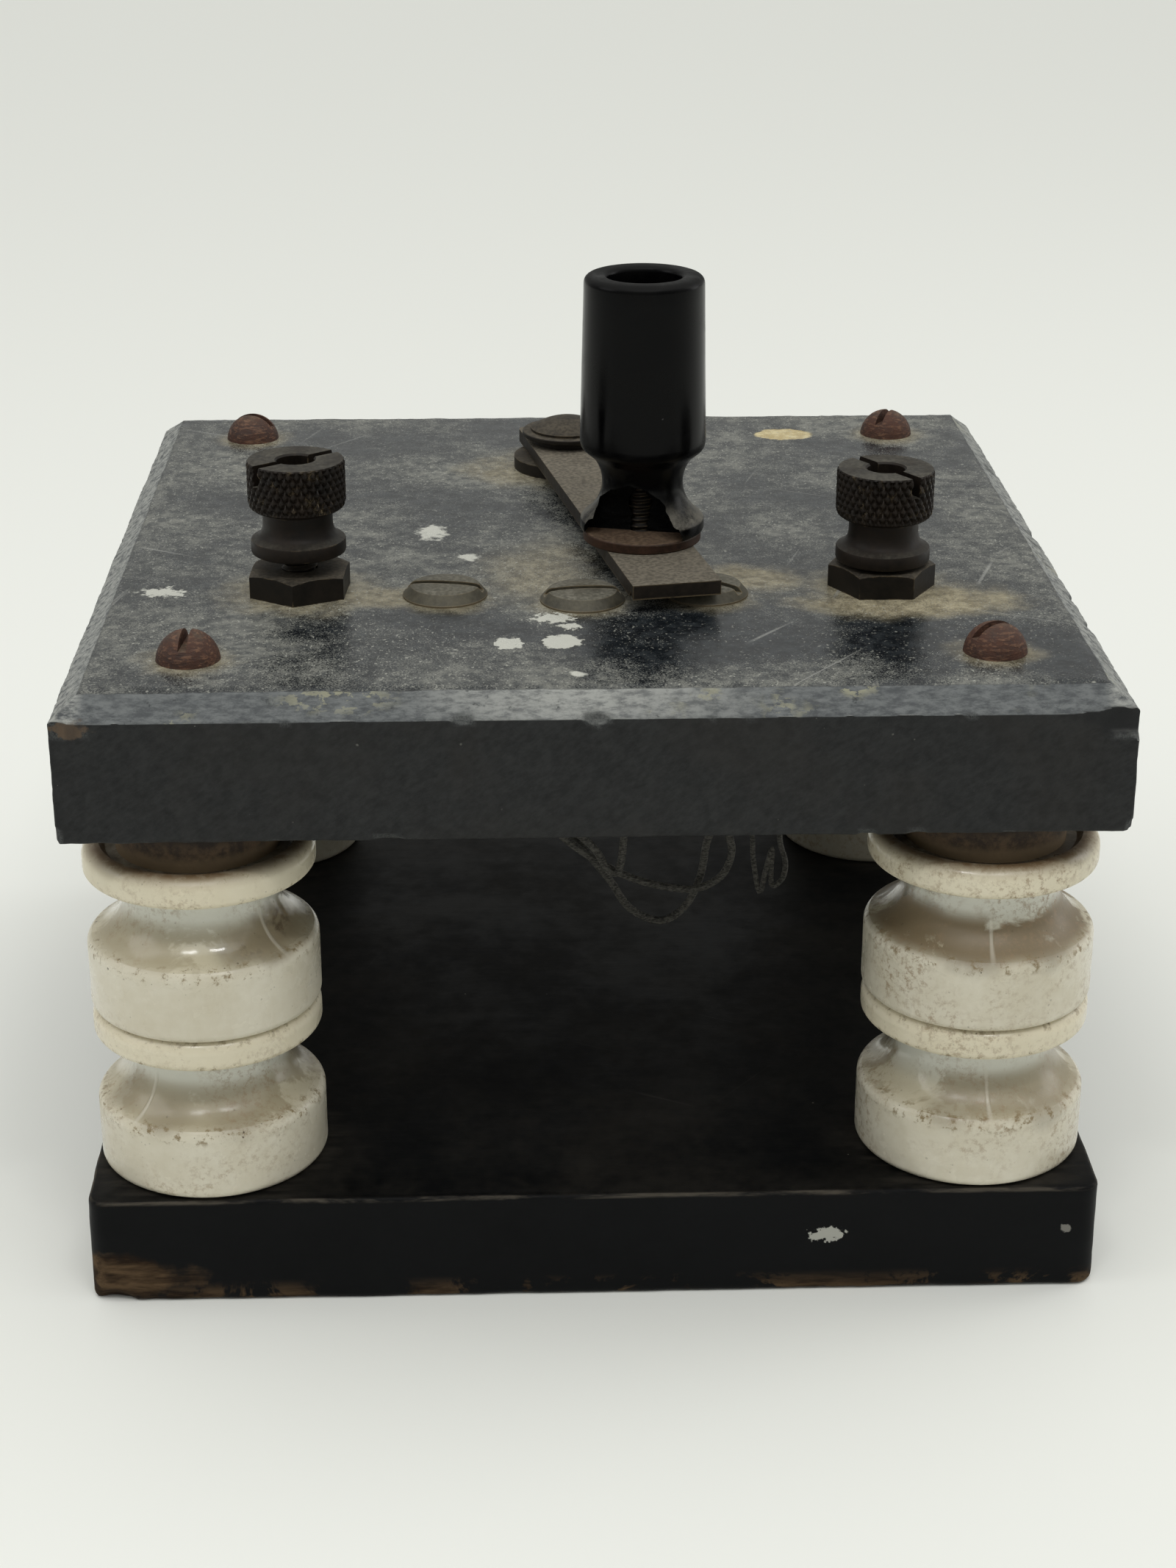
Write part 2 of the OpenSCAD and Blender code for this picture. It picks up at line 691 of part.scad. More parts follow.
// contact 2 to contact 3, the shallow loop
module shallow_wire() {
    color(black) wire(concat(
        eye(c2, tap_q, tap_z, 200, -290),
        smooth(concat(from(c2, tap_z, [[-4, -3.3, 0], [-7.4, -2.8, -2.4], [-7.6, -1.2, -9],
                [-3.4, 0, -15], [3, 0, -20], [9, 0, -23.2], [15.4, 0, -25], [20.6, -0.2, -25.2]]),
            from(c3, tap_z, [[3.6, -3.2, -22.6], [5.2, -3.4, -18], [4.4, -3.8, -13.4],
                [5.4, -4, -8.4], [4.6, -3.4, -5], [2, -3.15, -4.6]])), 4),
        eye(c3, tip_q, tip_z, -90, -290)), wire_r);
}

// contact 3 to the right post, hanging in folds
module folded_wire() {
    s = posts[1];
    z = tip_z - wire_r - thin_r - 0.02;
    q = contact_shank_r + thin_r - 0.05;
    qs = post_r + thin_r - 0.05;
    zs = post_u2 - thin_r + 0.02;
    color(black) wire(concat(
        eye(c3, q, z, -360, 270),
        smooth(concat(from(c3, z, [[3.6, -3, 0], [7.2, -1.6, -3], [8.9, -0.6, -9], [9.3, -0.4, -15],
                [10.6, -0.4, -21.6], [11.5, -1.2, -17], [12.5, -1.8, -12.4],
                [12.5, -0.9, -17], [12.9, 0.2, -20.6], [14.6, -0.4, -19], [15, -1, -15.4],
                [13.8, -1.4, -10.6], [14.6, -1.2, -4]]),
            from(s, zs, [[-10, -4.4, -1.6], [-5.5, -3.9, -0.1], [-3, -3.66, 0]])), 4),
        eye(s, qs, zs, -90, 290)), thin_r);
}

base_board();
slate_panel();
lower_knob_front_left();
lower_knob_front_right();
lower_knob_rear_left();
lower_knob_rear_right();
upper_knob_front_left();
upper_knob_front_right();
upper_knob_rear_left();
upper_knob_rear_right();
seat_washers();
corner_screws();
contact_stud_1();
contact_stud_2();
contact_stud_3();
contact_washers();
contact_nuts();
contact_lock_nuts();
pivot_spacer();
pivot_screw();
pivot_spring_washer();
pivot_washer();
pivot_under_washer();
pivot_nut();
pivot_lock_nut();
blade();
handle_screw();
handle_washer();
handle();
handle_inner_washer();
handle_nut();
left_post();
right_post();
left_panel_nut();
right_panel_nut();
left_thumb_nut();
right_thumb_nut();
post_washers();
post_nuts();
post_lock_nuts();
pivot_wire();
jumper_wire();
deep_wire();
shallow_wire();
folded_wire();
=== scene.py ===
import math
import random

import bmesh
import bpy
import numpy as np
from mathutils import Matrix, Vector, noise


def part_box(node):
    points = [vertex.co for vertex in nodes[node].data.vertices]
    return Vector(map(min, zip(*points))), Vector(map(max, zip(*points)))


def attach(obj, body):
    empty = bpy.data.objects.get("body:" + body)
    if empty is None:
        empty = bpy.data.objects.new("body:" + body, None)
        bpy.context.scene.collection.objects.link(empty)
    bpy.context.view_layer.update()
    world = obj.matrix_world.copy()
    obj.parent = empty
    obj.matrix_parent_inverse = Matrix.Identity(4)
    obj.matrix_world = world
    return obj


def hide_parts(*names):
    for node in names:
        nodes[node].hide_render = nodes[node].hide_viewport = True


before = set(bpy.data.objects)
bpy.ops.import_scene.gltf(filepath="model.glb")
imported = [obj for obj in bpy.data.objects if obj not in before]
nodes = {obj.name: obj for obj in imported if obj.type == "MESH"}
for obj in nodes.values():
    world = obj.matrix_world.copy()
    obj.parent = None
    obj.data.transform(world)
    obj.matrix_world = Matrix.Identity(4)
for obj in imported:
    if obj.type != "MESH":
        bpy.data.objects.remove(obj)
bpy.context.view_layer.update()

# A lever switch on a slate panel. Lengths in the making of a piece are millimetres; the scene is in metres.
MM = 0.001


def middle(name):
    """Plan centre of a CAD node, in millimetres."""
    low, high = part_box(name)
    return (low.x + high.x) / 2 / MM, (low.y + high.y) / 2 / MM


def level(name, top=True):
    """Height of a CAD node's top or underside, in millimetres."""
    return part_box(name)[1 if top else 0].z / MM


# ---- camera, light and floor

FRAME_HEIGHT = 2133  # pixels of the photograph's frame
FOCAL_LENGTH = 3712.95  # in the same pixels
SENSOR = 36  # millimetres along the frame's long side
EYE = (-0.015194, -0.477517, 0.257737)  # metres
PITCH, YAW, ROLL = 22.684, 1.9946, 0.106  # degrees: down, to the right, right side up


def put_in_scene(name, data):
    obj = bpy.data.objects.new(name, data)
    bpy.context.scene.collection.objects.link(obj)
    return obj


def add_camera():
    """The camera that was solved from the panel's and the board's corners."""
    pitch, yaw, roll = (math.radians(a) for a in (PITCH, YAW, ROLL))
    look = Vector((math.sin(yaw) * math.cos(pitch), math.cos(yaw) * math.cos(pitch), -math.sin(pitch)))
    side = Vector((math.cos(yaw), -math.sin(yaw), 0))
    up = side.cross(look)
    right = side * math.cos(roll) + up * math.sin(roll)
    top = up * math.cos(roll) - side * math.sin(roll)
    data = bpy.data.cameras.new("camera")
    data.sensor_width = SENSOR
    data.lens = SENSOR * FOCAL_LENGTH / FRAME_HEIGHT
    data.clip_start = 0.01
    cam = put_in_scene("camera", data)
    turn = Matrix((right, top, -look)).transposed().to_4x4()
    cam.matrix_world = Matrix.Translation(EYE) @ turn
    bpy.context.scene.camera = cam


def add_lamp(name, kind, place, aim, energy, size=0.3, size_y=0.3, angle=0.0):
    """A lamp at place that shines at aim. size is an area lamp's, angle is how wide a sun stands."""
    data = bpy.data.lights.new(name, kind)
    data.energy = energy
    if kind == "AREA":
        data.shape = "RECTANGLE"
        data.size = size
        data.size_y = size_y
    if kind == "SUN":
        data.angle = math.radians(angle)
    lamp = put_in_scene(name, data)
    lamp.location = place
    lamp.rotation_euler = (Vector(aim) - Vector(place)).to_track_quat("-Z", "Y").to_euler()


# ---- node building

def srgb(r, g, b):
    """A colour as it shows on a screen, 0 to 255, as Blender's linear colour."""
    shown = [c / 255 for c in (r, g, b)]
    return tuple(((c + 0.055) / 1.055) ** 2.4 if c > 0.04 else c / 12.92 for c in shown) + (1.0,)


class Graph:
    """Adds nodes to a tree. A value is a number, a colour, a vector or another node's output."""

    def __init__(self, tree):
        self.tree = tree

    def feed(self, socket, value):
        if isinstance(value, bpy.types.NodeSocket):
            self.tree.links.new(value, socket)
        else:
            socket.default_value = value

    def put(self, kind, settings=(), out=0, **values):
        """Adds a node and gives its output. A value is named by its socket, or i and the socket's number."""
        node = self.tree.nodes.new(kind)
        for key, value in dict(settings).items():
            setattr(node, key, value)
        for key, value in values.items():
            index = int(key[1:]) if key[1:].isdigit() else key.replace("_", " ")
            self.feed(node.inputs[index], value)
        return node.outputs[out]

    def math(self, op, a, b=0.0, clamp=False):
        return self.put("ShaderNodeMath", {"operation": op, "use_clamp": clamp}, i0=a, i1=b)

    def plus(self, a, b):
        return self.math("ADD", a, b)

    def less(self, a, b):
        return self.math("SUBTRACT", a, b)

    def rest(self, a):
        """What a leaves of 1."""
        return self.math("SUBTRACT", 1.0, a)

    def mul(self, *values):
        result = values[0]
        for value in values[1:]:
            result = self.math("MULTIPLY", result, value)
        return result

    def most(self, *values):
        result = values[0]
        for value in values[1:]:
            result = self.math("MAXIMUM", result, value)
        return result

    def vec(self, op, a, b=(0, 0, 0), out=0):
        return self.put("ShaderNodeVectorMath", {"operation": op}, out=out, i0=a, i1=b)

    def stretch(self, vector, x, y, z):
        return self.vec("MULTIPLY", vector, (x, y, z))

    def spun(self, vector, axis, angle):
        settings = {"rotation_type": axis + "_AXIS"}
        return self.put("ShaderNodeVectorRotate", settings, Vector=vector, Angle=angle)

    def split(self, vector):
        node = self.tree.nodes.new("ShaderNodeSeparateXYZ")
        self.feed(node.inputs[0], vector)
        return node.outputs

    def join(self, x=0.0, y=0.0, z=0.0):
        return self.put("ShaderNodeCombineXYZ", i0=x, i1=y, i2=z)

    def noise(self, vector, scale, detail=4.0, rough=0.55, twist=0.0):
        return self.put("ShaderNodeTexNoise", Vector=vector, Scale=scale, Detail=detail, Roughness=rough,
                        Distortion=twist)

    def cells(self, vector, scale):
        return self.put("ShaderNodeTexVoronoi", {"feature": "F1"}, Vector=vector, Scale=scale)

    def ramp(self, value, low, high, a=0.0, b=1.0, kind="SMOOTHSTEP"):
        settings = {"interpolation_type": kind}
        return self.put("ShaderNodeMapRange", settings, i0=value, i1=low, i2=high, i3=a, i4=b)

    def rise(self, length, low, high, a=0.0, b=1.0):
        """A ramp whose ends are given in millimetres."""
        return self.ramp(length, low * MM, high * MM, a, b)

    def band(self, length, low, full, spent, high):
        """Rises from low to full and falls from spent to high, all in millimetres."""
        return self.mul(self.rise(length, low, full), self.rise(length, high, spent))

    def mix(self, amount, a, b):
        return self.put("ShaderNodeMix", {"data_type": "RGBA"}, out=2, i0=amount, i6=a, i7=b)

    def tint(self, colour, amount, *shown):
        return self.mix(amount, colour, srgb(*shown))

    def fade(self, value, low, high, a, b):
        """From colour a to colour b as the value goes from low to high."""
        return self.mix(self.ramp(value, low, high), srgb(*a), srgb(*b))

    def bump(self, height, strength, distance, normal=None):
        values = {"Height": height, "Strength": strength, "Distance": distance * MM}
        if normal is not None:
            values["Normal"] = normal
        return self.put("ShaderNodeBump", **values)

    def place(self):
        """Where the point is in the scene, as every piece is made in place."""
        return self.put("ShaderNodeTexCoord", out=3)

    def facing(self):
        """The way the surface faces, without bumps."""
        return self.put("ShaderNodeTexCoord", out=1)

    def use(self, group, out=0, **values):
        node = self.tree.nodes.new("ShaderNodeGroup")
        node.node_tree = group
        for key, value in values.items():
            self.feed(node.inputs[key.replace("_", " ")], value)
        return node.outputs[out]


def effect(name, inputs, output, build):
    """A shader node group with one output. build gets a Graph and the input sockets in their order."""
    tree = bpy.data.node_groups.new(name, "ShaderNodeTree")
    for key, value in inputs.items():
        kind = "NodeSocketFloat" if isinstance(value, (int, float)) else "NodeSocketVector"
        socket = tree.interface.new_socket(name=key, in_out="INPUT", socket_type=kind)
        socket.default_value = value
    tree.interface.new_socket(name=output, in_out="OUTPUT", socket_type="NodeSocketFloat")
    start, end = tree.nodes.new("NodeGroupInput"), tree.nodes.new("NodeGroupOutput")
    g = Graph(tree)
    g.feed(end.inputs[0], build(g, *[start.outputs[key] for key in inputs]))
    return tree


def build_mottle(g, scale, contrast, offset):
    """Two sizes of cloud, from none to full."""
    at = g.vec("ADD", g.place(), offset)
    coarse = g.noise(at, scale, 5, 0.6, 0.4)
    fine = g.noise(at, g.mul(scale, 6.3), 4, 0.65)
    both = g.plus(g.mul(coarse, 0.62), g.mul(fine, 0.38))
    half = g.math("DIVIDE", 0.5, contrast)
    return g.ramp(both, g.less(0.5, half), g.plus(0.5, half))


def build_dust(g, scale, cover, steep):
    """Dust on what faces up, in patches. steep is how far up a face must look, cover how much lies."""
    up = g.split(g.facing())[2]
    patch = g.noise(g.place(), scale, 5, 0.62, 0.3)
    grain = g.noise(g.place(), g.mul(scale, 9.0), 3, 0.6)
    lying = g.ramp(up, g.less(steep, 0.25), g.plus(steep, 0.25))
    loose = g.plus(g.mul(patch, 0.7), g.mul(grain, 0.3))
    bare = g.rest(cover)
    return g.mul(lying, g.ramp(loose, g.mul(bare, 0.6), g.plus(g.mul(bare, 0.6), 0.38)))


def build_edge(g, radius, scale, amount):
    """Edges that handling has rubbed, here and there."""
    round_normal = g.put("ShaderNodeBevel", {"samples": 4}, Radius=radius)
    true_normal = g.put("ShaderNodeNewGeometry", out=1)
    along = g.vec("DOT_PRODUCT", round_normal, true_normal, out=1)
    breach = g.noise(g.place(), scale, 4, 0.6)
    turn = g.rest(along)
    held = g.ramp(breach, g.less(0.62, amount), g.less(0.82, amount))
    return g.mul(g.ramp(turn, 0.01, 0.12), held)


def build_spot(g, centre, spread, soft, scale, ragged):
    """One spot round its centre with a ragged rim."""
    at = g.place()
    wander = g.less(g.noise(at, scale, 4, 0.6), 0.5)
    off = g.vec("SUBTRACT", at, centre)
    off = g.vec("DIVIDE", off, spread)
    far = g.plus(g.vec("LENGTH", off, out=1), g.mul(wander, ragged))
    return g.ramp(far, 1.0, g.rest(soft))


def build_scratches(g, scale, amount):
    """Long fine scratches in three directions across the plan."""
    at = g.place()
    total = None
    for turn, stretch, shift in ((0.5, 40, 0.0), (-0.9, 55, 0.31), (1.9, 34, 0.77)):
        moved = g.vec("ADD", g.spun(at, "Z", turn), (shift, shift, 0))
        flat = g.stretch(moved, 1.0, stretch, 1.0)
        line = g.noise(flat, scale, 2, 0.4, 0.25)
        gate = g.noise(g.vec("ADD", at, (shift, 0, 0)), g.mul(scale, 1.7), 2, 0.5)
        least = g.less(0.76, g.mul(amount, 0.1))
        mark = g.mul(g.ramp(line, least, 0.8), g.ramp(gate, 0.5, 0.6))
        total = mark if total is None else g.most(total, mark)
    return total


def build_specks(g, scale, amount, offset):
    """Loose round specks."""
    at = g.vec("ADD", g.place(), offset)
    near = g.cells(at, scale)
    size = g.noise(at, g.mul(scale, 0.7), 2, 0.5)
    limit = g.mul(g.ramp(size, g.less(0.95, amount), 1.0), 0.5)
    return g.ramp(near, limit, g.mul(limit, 0.4))


MOTTLE = effect("mottle", {"Scale": 60.0, "Contrast": 1.6, "Offset": (0, 0, 0)}, "Value", build_mottle)
DUST = effect("settled_dust", {"Scale": 90.0, "Cover": 0.6, "Steep": 0.6}, "Mask", build_dust)
EDGE = effect("worn_edge", {"Radius": 0.0005, "Scale": 300.0, "Amount": 0.2}, "Mask", build_edge)
SPOT = effect("ragged_spot", {"Centre": (0, 0, 0), "Spread": (0.01, 0.01, 0.01), "Soft": 0.5, "Scale": 200.0,
                              "Ragged": 0.5}, "Mask", build_spot)
SCRATCH = effect("scratches", {"Scale": 14.0, "Amount": 0.5}, "Mask", build_scratches)
SPECKS = effect("specks", {"Scale": 900.0, "Amount": 0.4, "Offset": (0, 0, 0)}, "Mask", build_specks)


def material(name, build):
    """A material whose build function gets a Graph and returns the Principled shader's inputs."""
    mat = bpy.data.materials.new(name)
    mat.use_nodes = True
    tree = mat.node_tree
    tree.nodes.clear()
    g = Graph(tree)
    shader = tree.nodes.new("ShaderNodeBsdfPrincipled")
    for key, value in build(g).items():
        g.feed(shader.inputs[key], value)
    out = tree.nodes.new("ShaderNodeOutputMaterial")
    tree.links.new(shader.outputs[0], out.inputs[0])
    return mat


def surface(colour, rough, normal, specular=0.5, metal=0.0):
    """The Principled shader's inputs."""
    return {"Base Color": colour, "Roughness": rough, "Normal": normal, "Specular IOR Level": specular,
            "Metallic": metal}


def spot(g, x, y, z, spread, soft, scale, ragged, *strength):
    """A ragged spot at a place in millimetres; spread is its reach, one number or three."""
    if isinstance(spread, (int, float)):
        spread = (spread, spread, spread)
    mask = g.use(SPOT, Centre=(x * MM, y * MM, z * MM), Spread=tuple(s * MM for s in spread), Soft=soft,
                 Scale=scale, Ragged=ragged)
    return g.mul(mask, *strength)


def spots(g, z, rows):
    """The strongest of several spots at height z. A row is what spot takes, without the height."""
    return g.most(*[spot(g, x, y, z, *shape) for x, y, *shape in rows])


# ---- finishes

TOP = level("slate_panel")
STUDS = [middle(f"contact_stud_{i}") for i in (1, 2, 3)]
POSTS = [middle("left_post"), middle("right_post")]
PIVOT = middle("pivot_screw")
GRIP = middle("handle")
COLUMNS = [middle(f"lower_knob_{k}") for k in ("front_left", "front_right", "rear_left", "rear_right")]


# Spots on the panel's top: x, y, reach, softness, the rim's scale and raggedness, and in the dust how strong.
# Cleared spots thin the dust film. The darker stone they leave is also a painted reflection of the dark things
# standing on the panel.
CLEARED_AND_REFLECTIONS = ((60, -62, (44, 20, 9), 0.9, 60, 0.5), (-34, -60, (22, 22, 9), 0.9, 60, 0.6),
           (16, -58, (28, 18, 9), 0.9, 60, 0.6), (POSTS[0][0] + 6, POSTS[0][1] - 22, 12, 0.9, 60, 0.6))
HALOS = [(x, y - 1, (reach, reach, 9), 0.62, 180, 0.75, 0.7)
         for places, reach in ((COLUMNS, 9.5), (STUDS, 11.0), (POSTS, 16.5)) for x, y in places]
HALOS += [(POSTS[1][0] + 4, POSTS[1][1] - 9, (24, 12, 9), 0.6, 110, 1.0, 0.95),
          (POSTS[0][0] + 13, POSTS[0][1] - 4, (15, 7, 9), 0.6, 130, 1.0, 0.7),
          (27, -28, (14, 9, 9), 0.6, 130, 0.9, 0.75), (-8, -24, (14, 26, 9), 0.9, 110, 1.0, 0.6),
          (-9, 40, (17, 15, 9), 0.7, 130, 1.0, 0.7),
          (PIVOT[0], PIVOT[1] + 6, (20, 14, 9), 0.8, 100, 0.9, 0.5)]
PALE_CHIPS = ((-13.6, -59.9, (2.5, 3.0, 2), 0.12, 620, 1.5), (-4.9, -59.3, (3.3, 3.6, 2), 0.12, 620, 1.5),
              (-3.4, -52.0, (2.0, 1.9, 2), 0.2, 900, 2.4), (-6.0, -47.9, (3.6, 2.6, 2), 0.2, 900, 2.8),
              (-72.4, -32.5, (4.4, 2.6, 2), 0.3, 700, 3.0), (-27.2, 0.4, (3.0, 5.2, 2), 0.5, 380, 2.6),
              (-20.5, -14.5, (2.4, 2.2, 2), 0.5, 420, 2.4), (-3.0, -74.5, (1.7, 1.4, 2), 0.4, 400, 1.4))


def chip_mask(g):
    """How broken the worn slabs' mesh is, which make_slate and make_board store in it."""
    return g.put("ShaderNodeAttribute", {"attribute_name": "chip"}, out=2)


def slate(g):
    at = g.place()
    up = g.split(g.facing())[2]
    flat = g.ramp(up, 0.9, 0.985)
    slope = g.mul(g.ramp(up, 0.3, 0.5), g.rest(flat))
    cloud = g.use(MOTTLE, Scale=26.0, Contrast=2.3)
    grain = g.noise(at, 3400.0, 2, 0.6)
    pores = g.noise(at, 420.0, 5, 0.7)
    # the top: blue-black stone under a speckled grey film of dust
    stone = g.fade(pores, 0.4, 0.62, (15, 19, 23), (40, 44, 47))
    film = g.fade(pores, 0.35, 0.65, (72, 74, 73), (120, 120, 113))
    swirl = g.noise(at, 34.0, 8, 0.7, 0.2)
    density = g.plus(g.ramp(swirl, 0.36, 0.66, -0.05, 0.3), g.mul(cloud, 0.05))
    # thinner dust in the cleared spots, which also serves as painted dark reflections
    density = g.less(density, g.mul(spots(g, TOP, CLEARED_AND_REFLECTIONS), 0.22))
    amount = g.ramp(g.plus(grain, density), 0.5, 0.8)
    top = g.mix(amount, stone, film)
    # tan dust caught round whatever stands on the panel
    halo = g.mul(spots(g, TOP, HALOS), g.ramp(grain, 0.25, 0.6, 0.45, 1.0))
    top = g.mix(halo, top, g.fade(pores, 0.3, 0.7, (120, 111, 88), (172, 162, 134)))
    # chips that show lighter stone, one of them stained tan
    pale = spots(g, TOP, PALE_CHIPS)
    top = g.tint(top, pale, 190, 190, 180)
    buff = spot(g, 43.6, 65.2, TOP, (6.4, 4.4, 3), 0.15, 260, 0.8)
    top = g.mix(buff, top, g.fade(pores, 0.4, 0.6, (176, 158, 112), (206, 192, 148)))
    marks = g.use(SCRATCH, Scale=16.0, Amount=0.6)
    top = g.tint(top, g.mul(marks, 0.6), 150, 150, 145)
    white = g.use(SPECKS, Scale=420.0, Amount=0.46)
    top = g.tint(top, g.mul(white, 0.55), 178, 178, 168)
    fleck = g.ramp(g.noise(g.stretch(at, 1.0, 0.7, 1.0), 1900.0, 3, 0.6), 0.6, 0.67)
    top = g.tint(top, g.mul(fleck, g.ramp(swirl, 0.35, 0.6, 0.15, 0.75)), 168, 168, 158)
    # the bevel: blue-grey, painted pale in the middle of the front as a painted highlight, with greenish-tan
    # patches
    x = g.split(at)[0]
    streak = g.noise(g.stretch(at, 0.6, 1, 2), 620.0, 6, 0.75)
    rubbed = g.fade(streak, 0.36, 0.64, (70, 73, 75), (106, 109, 109))
    # a painted highlight: a reflection painted pale into the middle of the front bevel
    painted_highlight = spot(g, -2, -82, TOP, (34, 12, 12), 0.9, 50, 0.5)
    rubbed = g.tint(rubbed, g.mul(painted_highlight, g.ramp(streak, 0.35, 0.6, 0.3, 0.9)), 158, 159, 154)
    blots = ((41, -79, (5, 4, 3), 0.6, 160, 1.0), (59, -78, 3, 0.6, 200, 1.0),
             (78, -77, (6, 2.5, 3), 0.5, 200, 1.0))
    patches = g.most(spot(g, -41, -80, 106, (13, 5, 4), 0.7, 90, 0.9), spots(g, 107, blots),
                     g.mul(g.ramp(g.noise(at, 55.0, 4, 0.6), 0.58, 0.7), 0.7))
    flaked = g.ramp(g.noise(g.stretch(at, 0.6, 1, 1), 420.0, 5, 0.72), 0.5, 0.53)
    bevel = g.mix(g.mul(patches, flaked), rubbed, srgb(150, 148, 124))
    bevel = g.tint(bevel, g.ramp(pores, 0.6, 0.72, 0.0, 0.8), 46, 49, 51)
    ends = g.rise(g.math("ABSOLUTE", x), 79, 81.5)
    bevel = g.tint(bevel, g.mul(ends, g.ramp(streak, 0.35, 0.62)), 150, 151, 146)
    # the worn arris, painted paler in the middle of the front by the same painted highlight
    arris = g.use(EDGE, Radius=0.0006, Scale=260.0, Amount=0.3)
    bevel = g.tint(bevel, g.mul(arris, g.plus(0.35, g.mul(painted_highlight, 0.65))), 206, 205, 196)
    # the sides: near black, sawn and a little dusty, brown where the corner has gone
    sawn = g.noise(g.stretch(g.spun(at, "Y", 0.6), 0.5, 1, 1.2), 1100.0, 6, 0.75)
    side = g.fade(sawn, 0.32, 0.7, (14, 15, 16), (30, 32, 32))
    side = g.tint(side, g.mul(g.ramp(g.noise(at, 45.0, 4, 0.6, 0.5), 0.4, 0.7), 0.5), 28, 26, 23)
    specks = g.use(SPECKS, Scale=620.0, Amount=0.4, Offset=(0.3, 0.1, 0.2))
    side = g.tint(side, g.mul(specks, 0.55), 104, 104, 98)
    broken = chip_mask(g)
    fresh = g.fade(grain, 0.35, 0.65, (34, 36, 37), (72, 74, 73))
    brown = spot(g, -81.2, -85, 103.4, (3.4, 3.0, 1.6), 0.4, 700, 2.0)
    dark = spot(g, 80.5, -85, 103.6, (7.5, 5, 3.6), 0.3, 300, 0.7)
    fresh = g.tint(fresh, brown, 92, 76, 60)
    fresh = g.tint(fresh, dark, 20, 21, 22)
    colour = g.mix(slope, side, bevel)
    colour = g.mix(flat, colour, top)
    colour = g.mix(g.mul(broken, 0.75), colour, fresh)
    colour = g.tint(colour, g.mul(g.rest(flat), brown, 0.6), 88, 72, 56)
    rough = g.plus(g.mul(flat, g.ramp(amount, 0.1, 0.8, 0.2, 0.46)),
                   g.mul(g.rest(flat), g.ramp(pores, 0.3, 0.7, 0.62, 0.8)))
    rough = g.most(rough, g.mul(halo, 0.85), g.mul(broken, 0.8))
    height = g.plus(g.mul(pores, 0.6), g.mul(grain, 0.25))
    height = g.less(height, g.mul(g.most(pale, buff), 1.2))
    height = g.less(height, g.mul(marks, flat, 0.35))
    height = g.plus(height, g.mul(sawn, g.rest(flat), 0.9))
    broad = g.noise(at, 38.0, 4, 0.6)
    normal = g.bump(height, 0.6, 0.14, g.bump(broad, 0.4, 0.7))
    return surface(colour, rough, normal, specular=0.4)


def black_paint(g):
    at = g.place()
    up = g.split(g.facing())[2]
    grain = g.noise(g.stretch(at, 0.16, 1.0, 1.0), 380.0, 5, 0.65, 0.3)
    blot = g.use(MOTTLE, Scale=34.0, Contrast=1.9, Offset=(0.4, 0, 0))
    paint_and_shade = g.mix(blot, srgb(11, 12, 13), srgb(19, 20, 21))
    # faces that look up are painted darker: painted shade, because the board's top lies under the panel
    paint_and_shade = g.tint(paint_and_shade, g.ramp(up, 0.6, 0.9), 3, 4, 5)
    arris = g.mul(g.ramp(up, 0.15, 0.5), g.ramp(up, 0.97, 0.8), g.ramp(grain, 0.42, 0.62))
    wood = g.fade(grain, 0.35, 0.65, (36, 26, 18), (92, 74, 54))
    worn = g.use(EDGE, Radius=0.0011, Scale=150.0, Amount=0.13)
    low = g.rise(g.split(at)[2], 4.2, 0.2)
    ragged = g.ramp(g.noise(at, 75.0, 5, 0.7, 0.4), 0.5, 0.56)
    lost = g.most(g.mul(low, ragged, 0.95), g.mul(chip_mask(g), 0.9), worn,
                  spot(g, -82, -84, 4.5, (16, 12, 5.0), 0.35, 120, 1.1),
                  spot(g, -86, -60, 3.0, (6, 34, 3.6), 0.4, 120, 1.2))
    colour = g.mix(lost, paint_and_shade, wood)
    colour = g.tint(colour, spot(g, 38.9, -85, 11.0, (2.8, 3, 1.6), 0.2, 900, 2.6), 168, 168, 160)
    colour = g.tint(colour, spot(g, 79.2, -85, 11.3, (1.0, 2, 0.8), 0.3, 900, 1.8), 120, 118, 112)
    dust = g.mul(g.use(DUST, Scale=45.0, Cover=0.42, Steep=0.8), 0.5)
    ring = spots(g, 19.5, [(x, y, (27, 27, 6), 0.5, 130, 0.5, 0.6) for x, y in COLUMNS])
    ring = g.mul(ring, g.ramp(up, 0.7, 0.9), g.ramp(grain, 0.3, 0.7))
    dust = g.most(g.mul(dust, 0.42), ring, g.mul(arris, 1.1))
    colour = g.tint(colour, g.mul(dust, 0.5), 98, 92, 82)
    specks = g.use(SPECKS, Scale=420.0, Amount=0.32, Offset=(0.7, 0.2, 0.1))
    colour = g.tint(colour, g.mul(specks, 0.5), 130, 126, 116)
    marks = g.use(SCRATCH, Scale=12.0, Amount=0.5)
    colour = g.tint(colour, g.mul(marks, 0.25), 80, 78, 74)
    rough = g.plus(g.ramp(blot, 0.1, 0.9, 0.42, 0.6), g.mul(g.most(lost, dust), 0.3))
    height = g.plus(g.mul(grain, 0.5), g.mul(blot, 0.3))
    height = g.less(height, g.mul(lost, 0.6))
    return surface(colour, rough, g.bump(height, 0.5, 0.16), specular=0.08)


